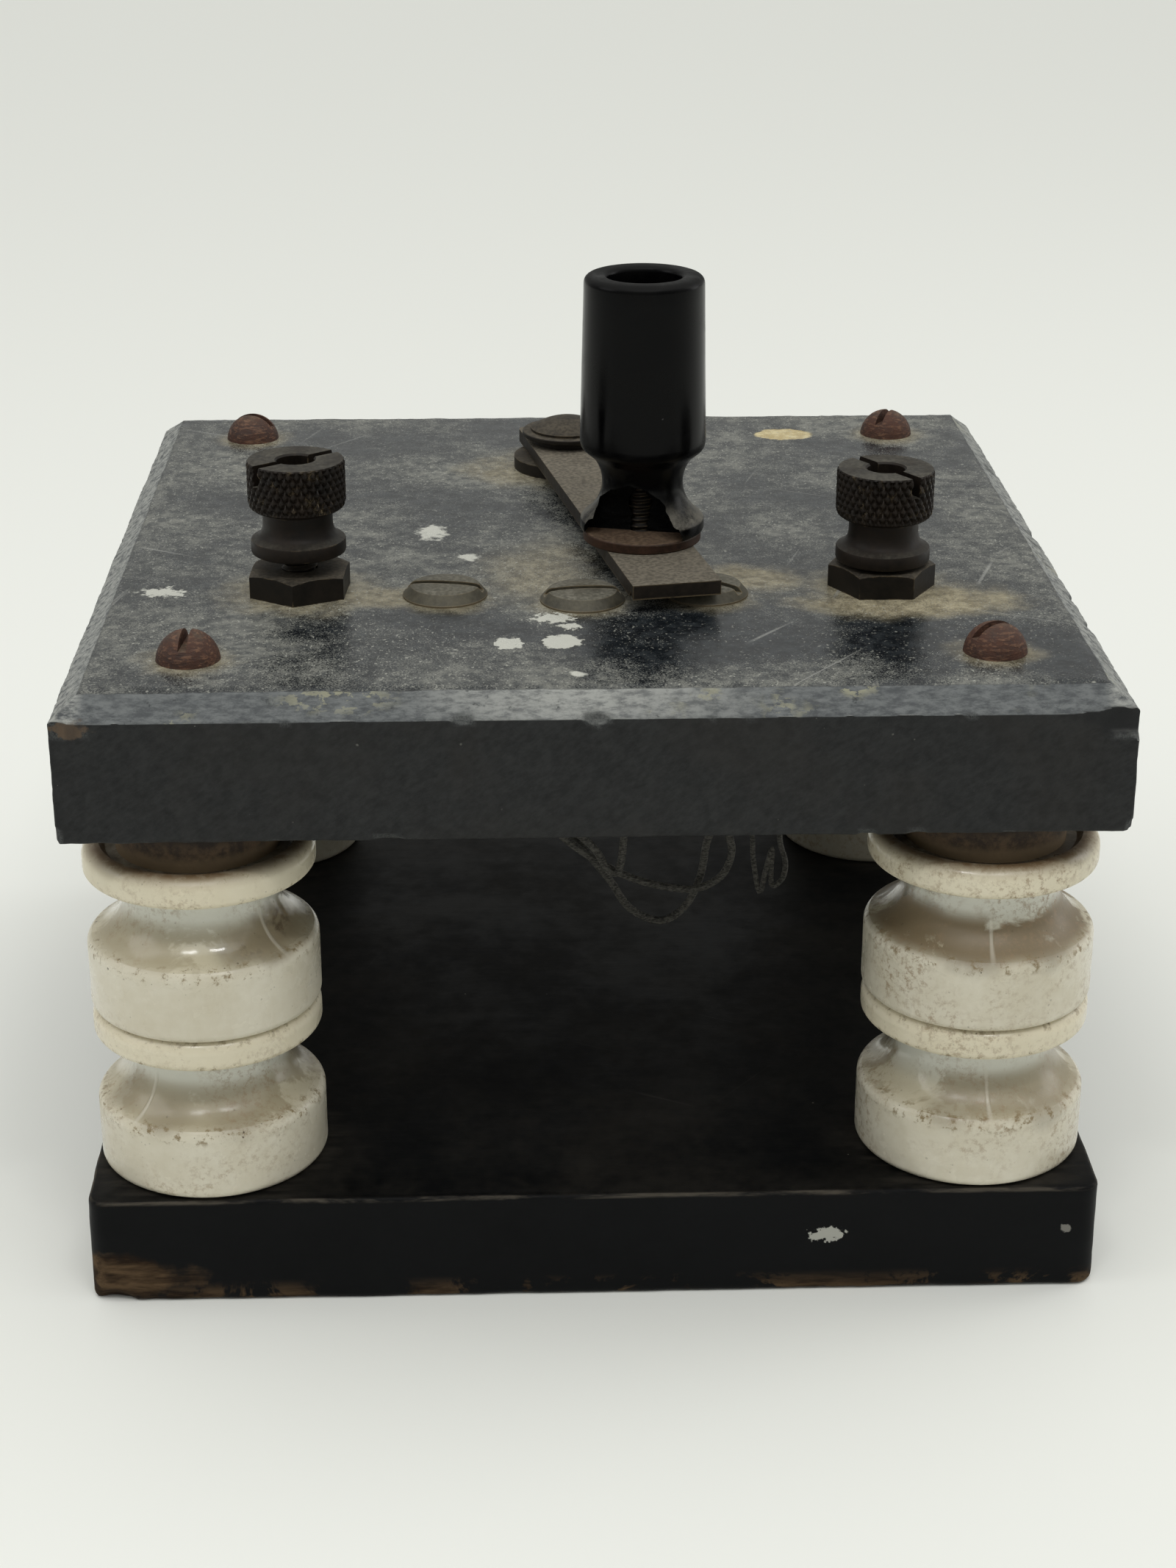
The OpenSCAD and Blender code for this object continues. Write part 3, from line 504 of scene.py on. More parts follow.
def porcelain(centre, low, rear, seams, stains, soiled):
    """One knob: glazed white, brown specks on its rims, stains in its groove, and the mould's seams.

    seams are angles in degrees; stains are rows of angle, spread, height and strength; soiled is 0 to 1.
    """
    x, y = centre
    upper = low > 40  # the upper knobs stand on the lower ones
    waist = 16  # about the groove's radius

    def build(g):
        at = g.place()
        local = g.vec("SUBTRACT", at, (x * MM, y * MM, low * MM))
        px, py, pz = g.split(local)
        turn = g.math("ARCTAN2", py, px)
        radius = g.vec("LENGTH", g.join(px, py, 0.0), out=1)
        blot = g.use(MOTTLE, Scale=70.0, Contrast=1.7, Offset=(low * 0.01, x * 0.01, 0))
        white = g.mix(blot, srgb(218, 213, 196), srgb(200, 192, 170))
        groove = g.band(pz, 11.6, 13.4, 23.4, 24.2)
        inside = g.mix(g.rise(pz, 19.0, 14.0), srgb(214, 214, 203), srgb(196, 188, 164))
        colour = g.mix(groove, white, inside)
        colour = g.tint(colour, g.mul(g.rise(pz, 23, 24), 0.6), 222, 212, 184)
        for angle, spread, height, strength in stains:
            a = math.radians(angle)
            sx, sy = x + waist * math.cos(a), y + waist * math.sin(a)
            dark = spot(g, sx, sy, low + height, (spread, spread, 4.5), 0.7, 150, 0.7, strength)
            colour = g.mix(dark, colour, g.mix(blot, srgb(112, 98, 78), srgb(76, 64, 52)))
        cloudy = g.noise(g.vec("ADD", at, (0, 0, low * 0.02)), 60.0, 6, 0.65, 0.5)
        band = g.mul(groove, g.rise(pz, 19.5, 16.5), g.ramp(cloudy, 0.44, 0.5))
        grime = g.mix(soiled, srgb(164, 154, 128), srgb(128, 113, 88))
        colour = g.mix(g.mul(band, 0.5 + 0.5 * soiled), colour, grime)
        rim = g.most(g.band(pz, 9.8, 11.2, 12.4, 13.4), g.band(pz, 22.8, 23.6, 24.2, 25.4),
                     g.mul(g.rise(pz, 27.2, 28.4), 0.7), g.mul(g.rise(pz, 1.6, 0.3), 0.3))
        rim = g.mul(rim, g.rise(radius, 14.5, 17.5))
        dirt = g.ramp(g.noise(at, 520.0, 5, 0.75), 0.52, 0.64)
        colour = g.tint(colour, g.mul(rim, dirt, 0.9), 126, 108, 74)
        spotty = g.use(SPECKS, Scale=760.0, Amount=0.56, Offset=(0.1, low * 0.03, 0))
        colour = g.tint(colour, g.mul(spotty, g.plus(g.mul(rim, 0.7), 0.3)), 74, 60, 42)
        bruise = g.ramp(g.noise(at, 120.0, 5, 0.7), 0.64, 0.74)
        colour = g.tint(colour, g.mul(bruise, 0.3), 150, 136, 108)
        blush = g.mul(g.ramp(g.noise(at, 65.0, 4, 0.6, 0.4), 0.46 - 0.1 * soiled, 0.64),
                      g.ramp(g.noise(at, 850.0, 5, 0.75), 0.47, 0.64))
        colour = g.tint(colour, g.mul(blush, 0.4 + 0.4 * soiled), 146, 124, 96)
        # an upper knob's top face: a brown stain, with painted shade darkening it towards the middle, under
        # the panel
        if upper:
            reach = g.plus(radius, g.mul(g.less(dirt, 0.5), 0.0012))
            top = g.mul(g.rise(pz, 26.4, 28.4), g.rise(reach, 19.0, 16.4), g.ramp(blot, 0.1, 0.6, 0.7, 1.0))
            stain_and_shade = g.mix(g.rise(radius, 17.5, 14.5), srgb(128, 106, 78), srgb(58, 44, 32))
            colour = g.mix(top, colour, stain_and_shade)
        # rear knobs: painted shade, brown-dark, deepening towards an upper knob's top under the panel
        if rear:
            painted_shade = g.rise(pz, 8, 22, 0.4, 0.985) if upper else 0.5
            colour = g.tint(colour, painted_shade, 46, 38, 28)
        ridge = None
        for angle in seams:
            gap = g.math("ABSOLUTE", g.less(turn, math.radians(angle)))
            line = g.mul(g.ramp(gap, 0.035, 0.008), groove, g.rise(pz, 20.0, 17.5))
            ridge = line if ridge is None else g.most(ridge, line)
        colour = g.tint(colour, g.mul(ridge, 0.35), 226, 222, 208)
        wave = g.noise(at, 110.0, 3, 0.5)
        ripple = g.noise(at, 700.0, 3, 0.6)
        thrown = g.noise(g.stretch(local, 0.12, 0.12, 1.0), 520.0, 2, 0.5)
        height = g.plus(wave, g.plus(g.mul(ripple, 0.12), g.mul(thrown, 0.35)))
        height = g.plus(height, g.mul(ridge, 0.7))
        height = g.less(height, g.mul(spotty, 0.12))
        matt = g.mul(g.ramp(g.noise(at, 90.0, 4, 0.6), 0.35, 0.7), g.rest(g.mul(groove, 0.8)))
        rough = g.plus(g.plus(0.08, g.mul(band, 0.3 * soiled)), g.mul(matt, 0.42))
        rough = g.plus(rough, g.mul(rim, 0.1))
        return surface(colour, rough, g.bump(height, 0.6, 0.28), specular=0.08 if rear else 0.5)
    return build


def brass(dark, mid, dusty, cover, steep=0.75, edge=0.2, rubbed=0.5):
    """Old brass gone brown-black, rubbed at its edges, with dust lying on what faces up."""
    metal = 0.3
    thin, thick = (tuple(c * share for c in srgb(*dusty)[:3]) + (1,) for share in (0.75, 1.4))

    def build(g):
        at = g.place()
        blot = g.use(MOTTLE, Scale=150.0, Contrast=1.8)
        grain = g.noise(at, 1400.0, 3, 0.6)
        colour = g.mix(blot, srgb(*dark), srgb(*mid))
        rub = g.use(EDGE, Radius=0.00035, Scale=420.0, Amount=edge)
        dust = g.use(DUST, Scale=170.0, Cover=cover, Steep=steep)
        colour = g.tint(colour, g.mul(rub, rubbed), 150, 132, 102)
        colour = g.mix(dust, colour, g.mix(g.ramp(grain, 0.35, 0.65), thin, thick))
        rough = g.plus(g.ramp(blot, 0, 1, 0.42, 0.6), g.mul(dust, 0.3))
        bright = g.less(metal, g.mul(dust, metal))
        height = g.plus(g.mul(g.noise(at, 600.0, 4, 0.65), 0.6), g.mul(grain, 0.3))
        return surface(colour, rough, g.bump(height, 0.45, 0.07), specular=0.3, metal=bright)
    return build


def rust(g):
    at = g.place()
    blot = g.use(MOTTLE, Scale=240.0, Contrast=1.9)
    grain = g.noise(at, 1300.0, 4, 0.7)
    ring = g.noise(g.stretch(at, 0.5, 1, 2.5), 900.0, 4, 0.7)
    colour = g.mix(blot, srgb(36, 22, 16), srgb(84, 52, 38))
    colour = g.tint(colour, g.ramp(ring, 0.5, 0.66, 0.0, 0.7), 122, 88, 66)
    colour = g.tint(colour, g.ramp(grain, 0.58, 0.72), 112, 80, 58)
    dust = g.use(DUST, Scale=260.0, Cover=0.35, Steep=0.9)
    colour = g.tint(colour, g.mul(dust, 0.75), 128, 112, 90)
    height = g.plus(g.mul(ring, 1.2), g.noise(at, 420.0, 5, 0.7))
    return surface(colour, g.ramp(blot, 0, 1, 0.6, 0.82), g.bump(height, 0.7, 0.2), metal=0.15)


def moulding(g):
    at = g.place()
    z = g.split(at)[2]
    haze = g.noise(at, 120.0, 5, 0.65, 0.4)
    fine = g.noise(at, 1600.0, 3, 0.6)
    colour = g.fade(haze, 0.35, 0.7, (2, 2, 3), (7, 7, 7))
    worn = g.use(EDGE, Radius=0.0009, Scale=420.0, Amount=0.26)
    high = g.rise(z, 155.5, 157.5)
    rim = g.mul(g.ramp(g.split(g.facing())[2], 0.25, 0.8), high, g.ramp(haze, 0.3, 0.6, 0.5, 1.0))
    colour = g.tint(colour, g.mul(g.most(g.mul(rim, 0.45), g.mul(worn, 0.6)), 0.7), 34, 34, 33)
    dust = g.use(DUST, Scale=260.0, Cover=0.5, Steep=0.35)
    foot = g.rise(z, 122.0, 117.5)
    dusty = g.mul(dust, foot, 0.75)
    colour = g.tint(colour, dusty, 120, 116, 106)
    scuffs = g.use(SPECKS, Scale=700.0, Amount=0.36)
    colour = g.tint(colour, g.mul(scuffs, 0.4), 90, 90, 88)
    rough = g.plus(g.ramp(haze, 0.3, 0.75, 0.16, 0.3), g.mul(g.most(rim, dusty), 0.35))
    height = g.plus(g.mul(g.noise(at, 60.0, 3, 0.5), 0.8), g.mul(fine, 0.05))
    return surface(colour, rough, g.bump(height, 0.25, 0.25), specular=0.1)


def broken_moulding(g):
    at = g.place()
    rubble = g.noise(at, 900.0, 5, 0.7)
    colour = g.fade(rubble, 0.5, 0.75, (4, 4, 4), (22, 21, 19))
    return surface(colour, 0.8, g.bump(rubble, 0.8, 0.3), specular=0.1)


def leather(g):
    at = g.place()
    fibre = g.noise(at, 500.0, 5, 0.7)
    colour = g.fade(fibre, 0.35, 0.65, (48, 37, 27), (92, 73, 53))
    z = g.split(at)[2]
    # lighter towards the bottom; darker towards the top, where painted shade stands for the panel's shadow
    colour = g.tint(colour, g.rise(z, 79.5, 77.3, 0.0, 0.85), 134, 114, 86)
    colour = g.tint(colour, g.rise(z, 79.5, 83.0), 22, 17, 12)
    return surface(colour, 0.8, g.bump(fibre, 0.6, 0.2))


def cotton(g):
    at = g.place()
    weave = g.noise(g.stretch(at, 1, 1, 2.5), 1500.0, 3, 0.6)
    colour = g.fade(weave, 0.35, 0.65, (40, 39, 36), (90, 88, 82))
    return surface(colour, 0.85, g.bump(weave, 0.7, 0.15))


def dark_steel(g):
    blot = g.use(MOTTLE, Scale=300.0, Contrast=1.8)
    colour = g.mix(blot, srgb(20, 18, 16), srgb(46, 40, 34))
    return surface(colour, 0.5, g.bump(g.noise(g.place(), 900.0, 3, 0.6), 0.4, 0.1), metal=0.6)


SLATE = material("slate", slate)
PAINT = material("black_paint", black_paint)
PATINA = material("old_brass", brass((12, 11, 9), (38, 32, 25), (70, 64, 54), 0.6))
KNURLED = material("knurled_brass", brass((7, 6, 5), (38, 29, 21), (78, 75, 67), 0.55, 0.9, 0.1))
STUD_TOP = material("stud_brass", brass((40, 38, 32), (96, 91, 76), (98, 95, 85), 0.55, 0.75, 0.5, 0.9))
BLADE = material("blade_brass", brass((14, 12, 9), (50, 42, 34), (94, 88, 77), 0.8, edge=0.34))
COPPER = material("copper_brown", brass((30, 20, 14), (74, 50, 37), (98, 82, 66), 0.65, 0.9, 0.3))
# the handle's screw: a darker copy of the copper, as painted shade for the handle's dark hollow
SHADED_COPPER = material("copper_painted_shade", brass((9, 8, 7), (28, 22, 17), (40, 34, 28), 0.3, edge=0.3))
RUST = material("rusty_steel", rust)
STEEL = material("dark_steel", dark_steel)
MOULDED = material("moulded_black", moulding)
BROKEN = material("broken_moulding", broken_moulding)
LEATHER = material("leather_seat", leather)
COTTON = material("cotton_wire", cotton)


# ---- mesh making

def outward(mesh):
    """Merges points that coincide and turns every face outwards."""
    bm = bmesh.new()
    bm.from_mesh(mesh)
    bmesh.ops.remove_doubles(bm, verts=bm.verts, dist=1e-7)
    bmesh.ops.recalc_face_normals(bm, faces=bm.faces)
    bm.to_mesh(mesh)
    bm.free()


def add_piece(name, points, faces, finishes, smooth=0.6):
    """A new piece from points in millimetres. Edges sharper than the smooth angle, in radians, stay crisp."""
    mesh = bpy.data.meshes.new(name)
    mesh.from_pydata([tuple(p) for p in np.asarray(points, float) * MM], [], faces)
    mesh.validate()
    outward(mesh)
    obj = put_in_scene(name, mesh)
    for finish in finishes:
        mesh.materials.append(finish)
    shade(mesh, smooth)
    return obj


def shade(mesh, angle):
    mesh.shade_smooth()
    mesh.set_sharp_from_angle(angle=angle)


def hand_over(obj, body, stands_for):
    """The finished piece goes on its body, in the place of the CAD nodes it stands for."""
    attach(obj, body)
    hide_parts(*stands_for)


def arc(cx, cz, r, start, end, count):
    """Points of an arc from one angle to another, in degrees."""
    angles = [math.radians(start + (end - start) * k / count) for k in range(count + 1)]
    return [(cx + r * math.cos(a), cz + r * math.sin(a)) for a in angles]


def turned(x, y, angle):
    """A plan point turned round the origin; the angle is in radians."""
    return x * math.cos(angle) - y * math.sin(angle), x * math.sin(angle) + y * math.cos(angle)


def revolve(profile, centre, base, segments):
    """Points and faces of a closed ring profile (radius, height) turned round a vertical axis."""
    n = len(profile)
    points, faces = [], []
    for k in range(segments):
        c, s = math.cos(2 * math.pi * k / segments), math.sin(2 * math.pi * k / segments)
        points += [(centre[0] + r * c, centre[1] + r * s, base + z) for r, z in profile]
        nxt = (k + 1) % segments
        faces += [(k * n + i, nxt * n + i, nxt * n + (i + 1) % n, k * n + (i + 1) % n) for i in range(n)]
    return points, faces


def evaluated(obj, name):
    """The object's mesh with its modifiers applied, as a new plain object; the old one goes."""
    graph = bpy.context.evaluated_depsgraph_get()
    mesh = bpy.data.meshes.new_from_object(obj.evaluated_get(graph))
    bpy.data.objects.remove(obj)
    mesh.name = name
    return put_in_scene(name, mesh)


def cut(obj, cutter, name):
    """obj less cutter; the cut faces take the cutter's material."""
    mod = obj.modifiers.new("cut", "BOOLEAN")
    mod.operation, mod.object, mod.solver = "DIFFERENCE", cutter, "EXACT"
    mod.material_mode = "TRANSFER"
    new = evaluated(obj, name)
    bpy.data.objects.remove(cutter)
    return new


# ---- geometry node trees

class Recipe(Graph):
    """A Geometry Nodes tree with named inputs, made once and used on any object."""

    def __init__(self, name, inputs):
        tree = bpy.data.node_groups.new(name, "GeometryNodeTree")
        super().__init__(tree)
        tree.interface.new_socket(name="Geometry", in_out="INPUT", socket_type="NodeSocketGeometry")
        kinds = {float: "NodeSocketFloat", int: "NodeSocketInt", tuple: "NodeSocketVector"}
        for key, value in inputs.items():
            kind = "NodeSocketMaterial" if value is None else kinds[type(value)]
            socket = tree.interface.new_socket(name=key, in_out="INPUT", socket_type=kind)
            if value is not None:
                socket.default_value = value
        tree.interface.new_socket(name="Geometry", in_out="OUTPUT", socket_type="NodeSocketGeometry")
        start, self.end = tree.nodes.new("NodeGroupInput"), tree.nodes.new("NodeGroupOutput")
        self.given = [start.outputs[key] for key in ("Geometry", *inputs)]

    def ramp(self, value, low, high, a=0.0, b=1.0, kind="LINEAR"):
        return super().ramp(value, low, high, a, b, kind)

    def zigzag(self, value):
        """1 at whole numbers, 0 halfway between them."""
        return self.math("ABSOLUTE", self.less(self.mul(self.math("FRACT", value), 2.0), 1.0))

    def close(self, shape, finish):
        whole = self.put("GeometryNodeRealizeInstances", Geometry=shape)
        self.feed(self.end.inputs[0], self.put("GeometryNodeSetMaterial", Geometry=whole, Material=finish))
        return self.tree


def run(obj, tree, name, **values):
    """Runs a recipe on obj and leaves a plain mesh. Inputs are set by their sockets' identifiers."""
    mod = obj.modifiers.new(tree.name, "NODES")
    mod.node_group = tree
    for item in tree.interface.items_tree:
        if item.item_type == "SOCKET" and item.in_out == "INPUT" and item.name in values:
            mod[item.identifier] = values[item.name]
    return evaluated(obj, name)


def knurl_recipe():
    """Crossed knurling: presses diamond grooves into what lies between Low and High, well off the Centre."""
    run_out, core, skin = 0.0003, 0.0072, 0.0079  # metres; nothing within the core's radius moves
    g = Recipe("diamond_knurl", {"Centre": (0.0, 0.0, 0.0), "Low": 0.0, "High": 1.0, "Around": 44.0,
                                 "Depth": 0.0003, "Slant": 500.0, "Finish": None})
    shape, centre, low, high, around, depth, slant, finish = g.given
    at = g.vec("SUBTRACT", g.put("GeometryNodeInputPosition"), centre)
    x, y, z = g.split(at)
    turn = g.mul(g.math("ARCTAN2", y, x), g.math("DIVIDE", around, 2 * math.pi))
    off = g.vec("LENGTH", g.join(x, y, 0.0), out=1)
    lean = g.mul(z, slant)
    waves = [g.zigzag(g.math(op, turn, lean)) for op in ("ADD", "SUBTRACT")]
    groove = g.math("MINIMUM", *[g.math("MINIMUM", g.mul(w, 1.8), 1.0) for w in waves])
    band = g.mul(g.ramp(z, low, g.plus(low, run_out)), g.ramp(z, high, g.less(high, run_out)))
    outer = g.ramp(off, core, skin)
    sink = g.mul(g.rest(groove), depth, band, outer)
    outwards = g.vec("NORMALIZE", g.join(x, y, 0.0))
    shift = g.put("ShaderNodeVectorMath", {"operation": "SCALE"}, i0=outwards, Scale=g.mul(sink, -1.0))
    moved = g.put("GeometryNodeSetPosition", Geometry=shape, Offset=shift)
    return g.close(moved, finish)


def thread_recipe():
    """A threaded rod: a sheet wound round the axis, closed at its ends, with the thread's ridge along it."""
    g = Recipe("screw_thread", {"Base": (0.0, 0.0, 0.0), "Radius": 0.003, "Length": 0.05, "Pitch": 0.00127,
                                "Depth": 0.0006, "Around": 33, "Rows": 200, "Finish": None})
    _, base, radius, length, pitch, depth, around, rows, finish = g.given
    lead_in = 0.0006  # metres of each end that narrow
    sheet = g.put("GeometryNodeMeshGrid", Size_X=1.0, Size_Y=1.0, Vertices_X=around, Vertices_Y=rows)
    u, v, _ = g.split(g.vec("ADD", g.put("GeometryNodeInputPosition"), (0.5, 0.5, 0.0)))
    angle = g.mul(u, 2 * math.pi)
    last = g.less(rows, 1.0)
    row = g.mul(v, last)
    inner = g.math("DIVIDE", g.less(row, 1.0), g.less(last, 2.0), clamp=True)
    z = g.mul(inner, length)
    ridge = g.zigzag(g.less(g.math("DIVIDE", z, pitch), u))
    taper = g.math("MINIMUM", g.ramp(z, 0.0, lead_in, 0.8, 1.0),
                   g.ramp(z, length, g.less(length, lead_in), 0.8, 1.0))
    radius = g.mul(g.less(radius, g.mul(ridge, depth)), taper)
    shut = g.mul(g.ramp(row, 0.2, 0.8), g.ramp(row, g.less(last, 0.2), g.less(last, 0.8)))
    radius = g.mul(radius, shut)
    point = g.join(g.mul(radius, g.math("COSINE", angle)), g.mul(radius, g.math("SINE", angle)), z)
    wound = g.put("GeometryNodeSetPosition", Geometry=sheet, Position=g.vec("ADD", point, base))
    closed = g.put("GeometryNodeMergeByDistance", Geometry=wound, Distance=1e-6)
    return g.close(closed, finish)


POST_PITCH = 1.27
RIDGE = 0.62  # how deep a thread of that pitch is


def threaded(name, recipe, centre, radius, pitch, finish, body, around=29):
    """A threaded rod from a CAD node's underside to its top, in that node's place."""
    low, high = level(name, False), level(name)
    rows = int((high - low) / pitch * 7) + 3  # seven rows to a turn
    obj = put_in_scene(name + "_start", bpy.data.meshes.new(name))
    base = (centre[0] * MM, centre[1] * MM, low * MM)
    obj = run(obj, recipe, name + "_threaded", Base=base, Radius=radius * MM, Length=(high - low) * MM,
              Pitch=pitch * MM, Depth=RIDGE * pitch / POST_PITCH * MM, Around=around, Rows=rows, Finish=finish)
    outward(obj.data)
    shade(obj.data, 1.2)
    hand_over(obj, body, [name])


# ---- slabs with worn edges

CREST = 0.75  # how high the ripple rises, all but a few peaks
WHOLE_CHIP = 0.12  # a bite this deep shows fresh material and no old surface
INNER = 5.5  # from this far in, a slab's top and underside stay flat, so that other pieces sit on them


def outline(half, corner, per_side, per_corner=7):
    """Points round a square with rounded corners; the same number for any size, so that rows match."""
    points = []
    straight = half - corner
    for quarter in range(4):
        a = math.radians(90 * quarter)
        points += [turned(-straight + 2 * straight * k / per_side, -half, a) for k in range(per_side)]
        cx, cy = turned(straight, -straight, a)
        for k in range(per_corner):
            b = a + math.radians(-90 + 90 * k / per_corner)
            points.append((cx + corner * math.cos(b), cy + corner * math.sin(b)))
    return np.array(points)


def ripple(points, size, octaves, seed):
    """Smooth noise, about -1 to 1, at each point; size is the wave's length in millimetres."""
    shift = Vector((seed * 17.3, seed * 5.1, seed * 9.7))
    return np.array([noise.fractal(Vector(p) / size + shift, 0.9, 2.0, octaves) for p in points])


def slab(rows, half, corner, per_side, low, waves, scoops):
    """A slab as rings of points round its outline, from the top's middle to the underside's.

    rows are (inset, height), waves are (amount, size) of its unevenness, scoops are (centre, radius) of the
    balls that bite chips off. Waves only sink the surface, so that the slab stays inside its CAD node.
    """
    rings = [outline(half - d, max(corner - d, 0.25), per_side) for d, _ in rows]
    count = len(rings[0])
    grid = np.stack([np.c_[ring, np.full(count, low + z)] for ring, (_, z) in zip(rings, rows)])
    along = np.roll(grid, -1, 1) - np.roll(grid, 1, 1)
    down = np.gradient(grid, axis=0)
    normal = np.cross(down, along)
    normal /= np.maximum(np.linalg.norm(normal, axis=2, keepdims=True), 1e-9)
    flat = grid.reshape(-1, 3).copy()
    normal = normal.reshape(-1, 3)
    if (normal * (flat - [0, 0, low])).sum() < 0:
        normal = -normal
    fixed = np.repeat(np.array([d > INNER for d, _ in rows]), count)
    for k, (amount, size) in enumerate(waves):
        sink = np.minimum(ripple(flat, size, 3, k + 1) - CREST, 0.0) * amount
        sink[fixed] = 0
        flat += sink[:, None] * normal
    chip = np.zeros(len(flat))
    for centre, radius in scoops:
        off = flat - centre
        far = np.linalg.norm(off, axis=1)
        inside = (far < radius) & ~fixed
        bite = radius - far[inside]
        flat[inside] += off[inside] / np.maximum(far[inside], 1e-6)[:, None] * bite[:, None]
        chip[inside] = np.maximum(chip[inside], np.clip(bite / WHOLE_CHIP, 0, 1))
    faces = []
    for r in range(len(rows) - 1):
        a, b = r * count, (r + 1) * count
        faces += [(a + i, b + i, b + (i + 1) % count, a + (i + 1) % count) for i in range(count)]
    faces.append(tuple(range(count)))
    faces.append(tuple(reversed(range((len(rows) - 1) * count, len(rows) * count))))
    return flat, faces, chip


def chips_along(draw, half, z, out, down, count, radii, depth, sides=(0, 1, 2, 3)):
    """Balls that bite along an edge of a square slab; out and down are the way they lie off that edge."""
    balls = []
    n = math.hypot(out, down)
    for _ in range(count):
        side = draw.choice(sides)
        t = draw.uniform(-1.0, 1.0) * (half - 1)
        radius = draw.uniform(*radii)
        off = radius - draw.uniform(*depth)
        x, y = turned(t, -(half + out / n * off), math.radians(90 * side))
        balls.append((np.array([x, y, z + down / n * off]), radius))
    return balls


def keep_chips(obj, points, chip):
    """Stores how broken each point is. Doubles were merged, so points are matched by place."""
    mesh = obj.data
    layer = mesh.attributes.new("chip", "FLOAT", "POINT")
    if len(mesh.vertices) == len(points):
        layer.data.foreach_set("value", chip.astype(np.float32))
        return
    key = {tuple(np.round(p, 3)): c for p, c in zip(points, chip)}
    places = [tuple(np.round(np.array(v.co) / MM, 3)) for v in mesh.vertices]
    layer.data.foreach_set("value", [key.get(at, 0.0) for at in places])


def slab_box(node):
    """Half the width, the underside's height and the thickness of a square CAD node, in millimetres."""
    low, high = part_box(node)
    return (high.x - low.x) / 2 / MM, low.z / MM, (high.z - low.z) / MM


def make_slab(node, rows, corner, per_side, waves, edges, lone, draw, finish):
    """A worn slab in place of a CAD node. edges are what chips_along takes; lone are balls by their place."""
    half, base, _ = slab_box(node)
    balls = []
    for edge in edges:
        balls += chips_along(draw, *edge)
    balls += [(np.array([x, y, base + z]), radius) for x, y, z, radius in lone]
    points, faces, chip = slab(rows, half, corner, per_side, base, waves, balls)
    obj = add_piece(node + "_worn", points, faces, [finish], 0.7)
    keep_chips(obj, points, chip)
    hand_over(obj, "frame", [node])


def make_slate():
    half, base, thick = slab_box("slate_panel")
    wide, deep, corner = 4.4, 3.6, 0.7  # the bevel's width and depth, and how round the corners are
    rows = [(9.0, thick), (7.0, thick), (5.6, thick), (4.9, thick), (wide, thick - 0.03), (3.9, thick - 0.4)]
    rows += [(wide * (1 - k / 7), thick - deep * k / 7) for k in range(2, 7)]
    rows += [(0.12, thick - 3.5), (0.0, thick - 3.9)]
    rows += [(0.0, thick - 3.9 - (thick - 4.6) * k / 22) for k in range(1, 23)]
    rows += [(0.1, 0.35), (0.5, 0.02), (1.2, 0.0), (2.4, 0.0), (4.0, 0.0), (7.0, 0.0), (9.0, 0.0)]
    arris, slope = base + thick - deep, base + thick - 1.8
    edges = ((half, arris, 1.0, 0.45, 95, (1.0, 3.4), (0.12, 0.5)),
             (half, arris, 1.0, 0.6, 9, (3.0, 5.5), (0.5, 1.0)),
             (half, base, 1.0, -1.0, 80, (1.2, 3.6), (0.2, 0.75)),
             (half, base, 1.0, -1.0, 10, (4.0, 8.0), (0.6, 1.2)),
             (half - 2, slope, 0.65, 0.76, 34, (7.0, 14.0), (0.15, 0.5), (1,)),
             (half - 2, slope, 0.65, 0.76, 16, (6.0, 12.0), (0.15, 0.4), (3, 2)))
    lone = ((81.5, -89.6, 19.6, 6.0), (85.6, -88.0, 19.0, 4.8), (77.0, -89.0, 20.0, 4.6),
            (-83.5, -88.0, 19.6, 3.8), (-79.5, -88.6, 18.9, 4.0), (-86.5, -86.5, 12.0, 2.6),
            (-87.0, -87.0, 1.0, 4.0), (87.2, -87.2, 0.0, 4.4))
    waves = ((0.16, 14.0), (0.09, 3.2), (0.04, 1.1))
    make_slab("slate_panel", rows, corner, 190, waves, edges, lone, random.Random(11), SLATE)


def make_board():
    half, base, thick = slab_box("base_board")
    edge, corner = 1.2, 3.5  # how round the top's edge and the corners are
    rows = [(9.0, thick), (6.0, thick), (3.0, thick), (1.6, thick - 0.02)]
    rows += [(edge - edge * math.sin(a), thick - edge + edge * math.cos(a))
             for a in map(math.radians, (15, 40, 65, 90))]
    rows += [(0.0, thick - edge - (thick - 2.2) * k / 17) for k in range(1, 18)]
    rows += [(1.0 - math.cos(a), 1.0 - math.sin(a)) for a in map(math.radians, (25, 50, 75))]
    rows += [(1.6, 0.0), (3.0, 0.0), (6.0, 0.0), (9.0, 0.0)]
    edges = ((half, base, 1.0, -1.0, 46, (1.5, 5.0), (0.3, 0.8)),
             (half, base + thick, 1.0, 1.0, 34, (1.2, 3.5), (0.25, 0.6)),
             (half, base, 1.0, -0.8, 6, (6.0, 12.0), (0.9, 1.6)))
    lone = ((-81.5, -90.0, -3.5, 8.0), (-74.0, -90.5, -4.0, 7.6))
    waves = ((0.2, 22.0), (0.07, 4.0))
    make_slab("base_board", rows, corner, 150, waves, edges, lone, random.Random(5), PAINT)


# ---- thumb nuts, threads, handle

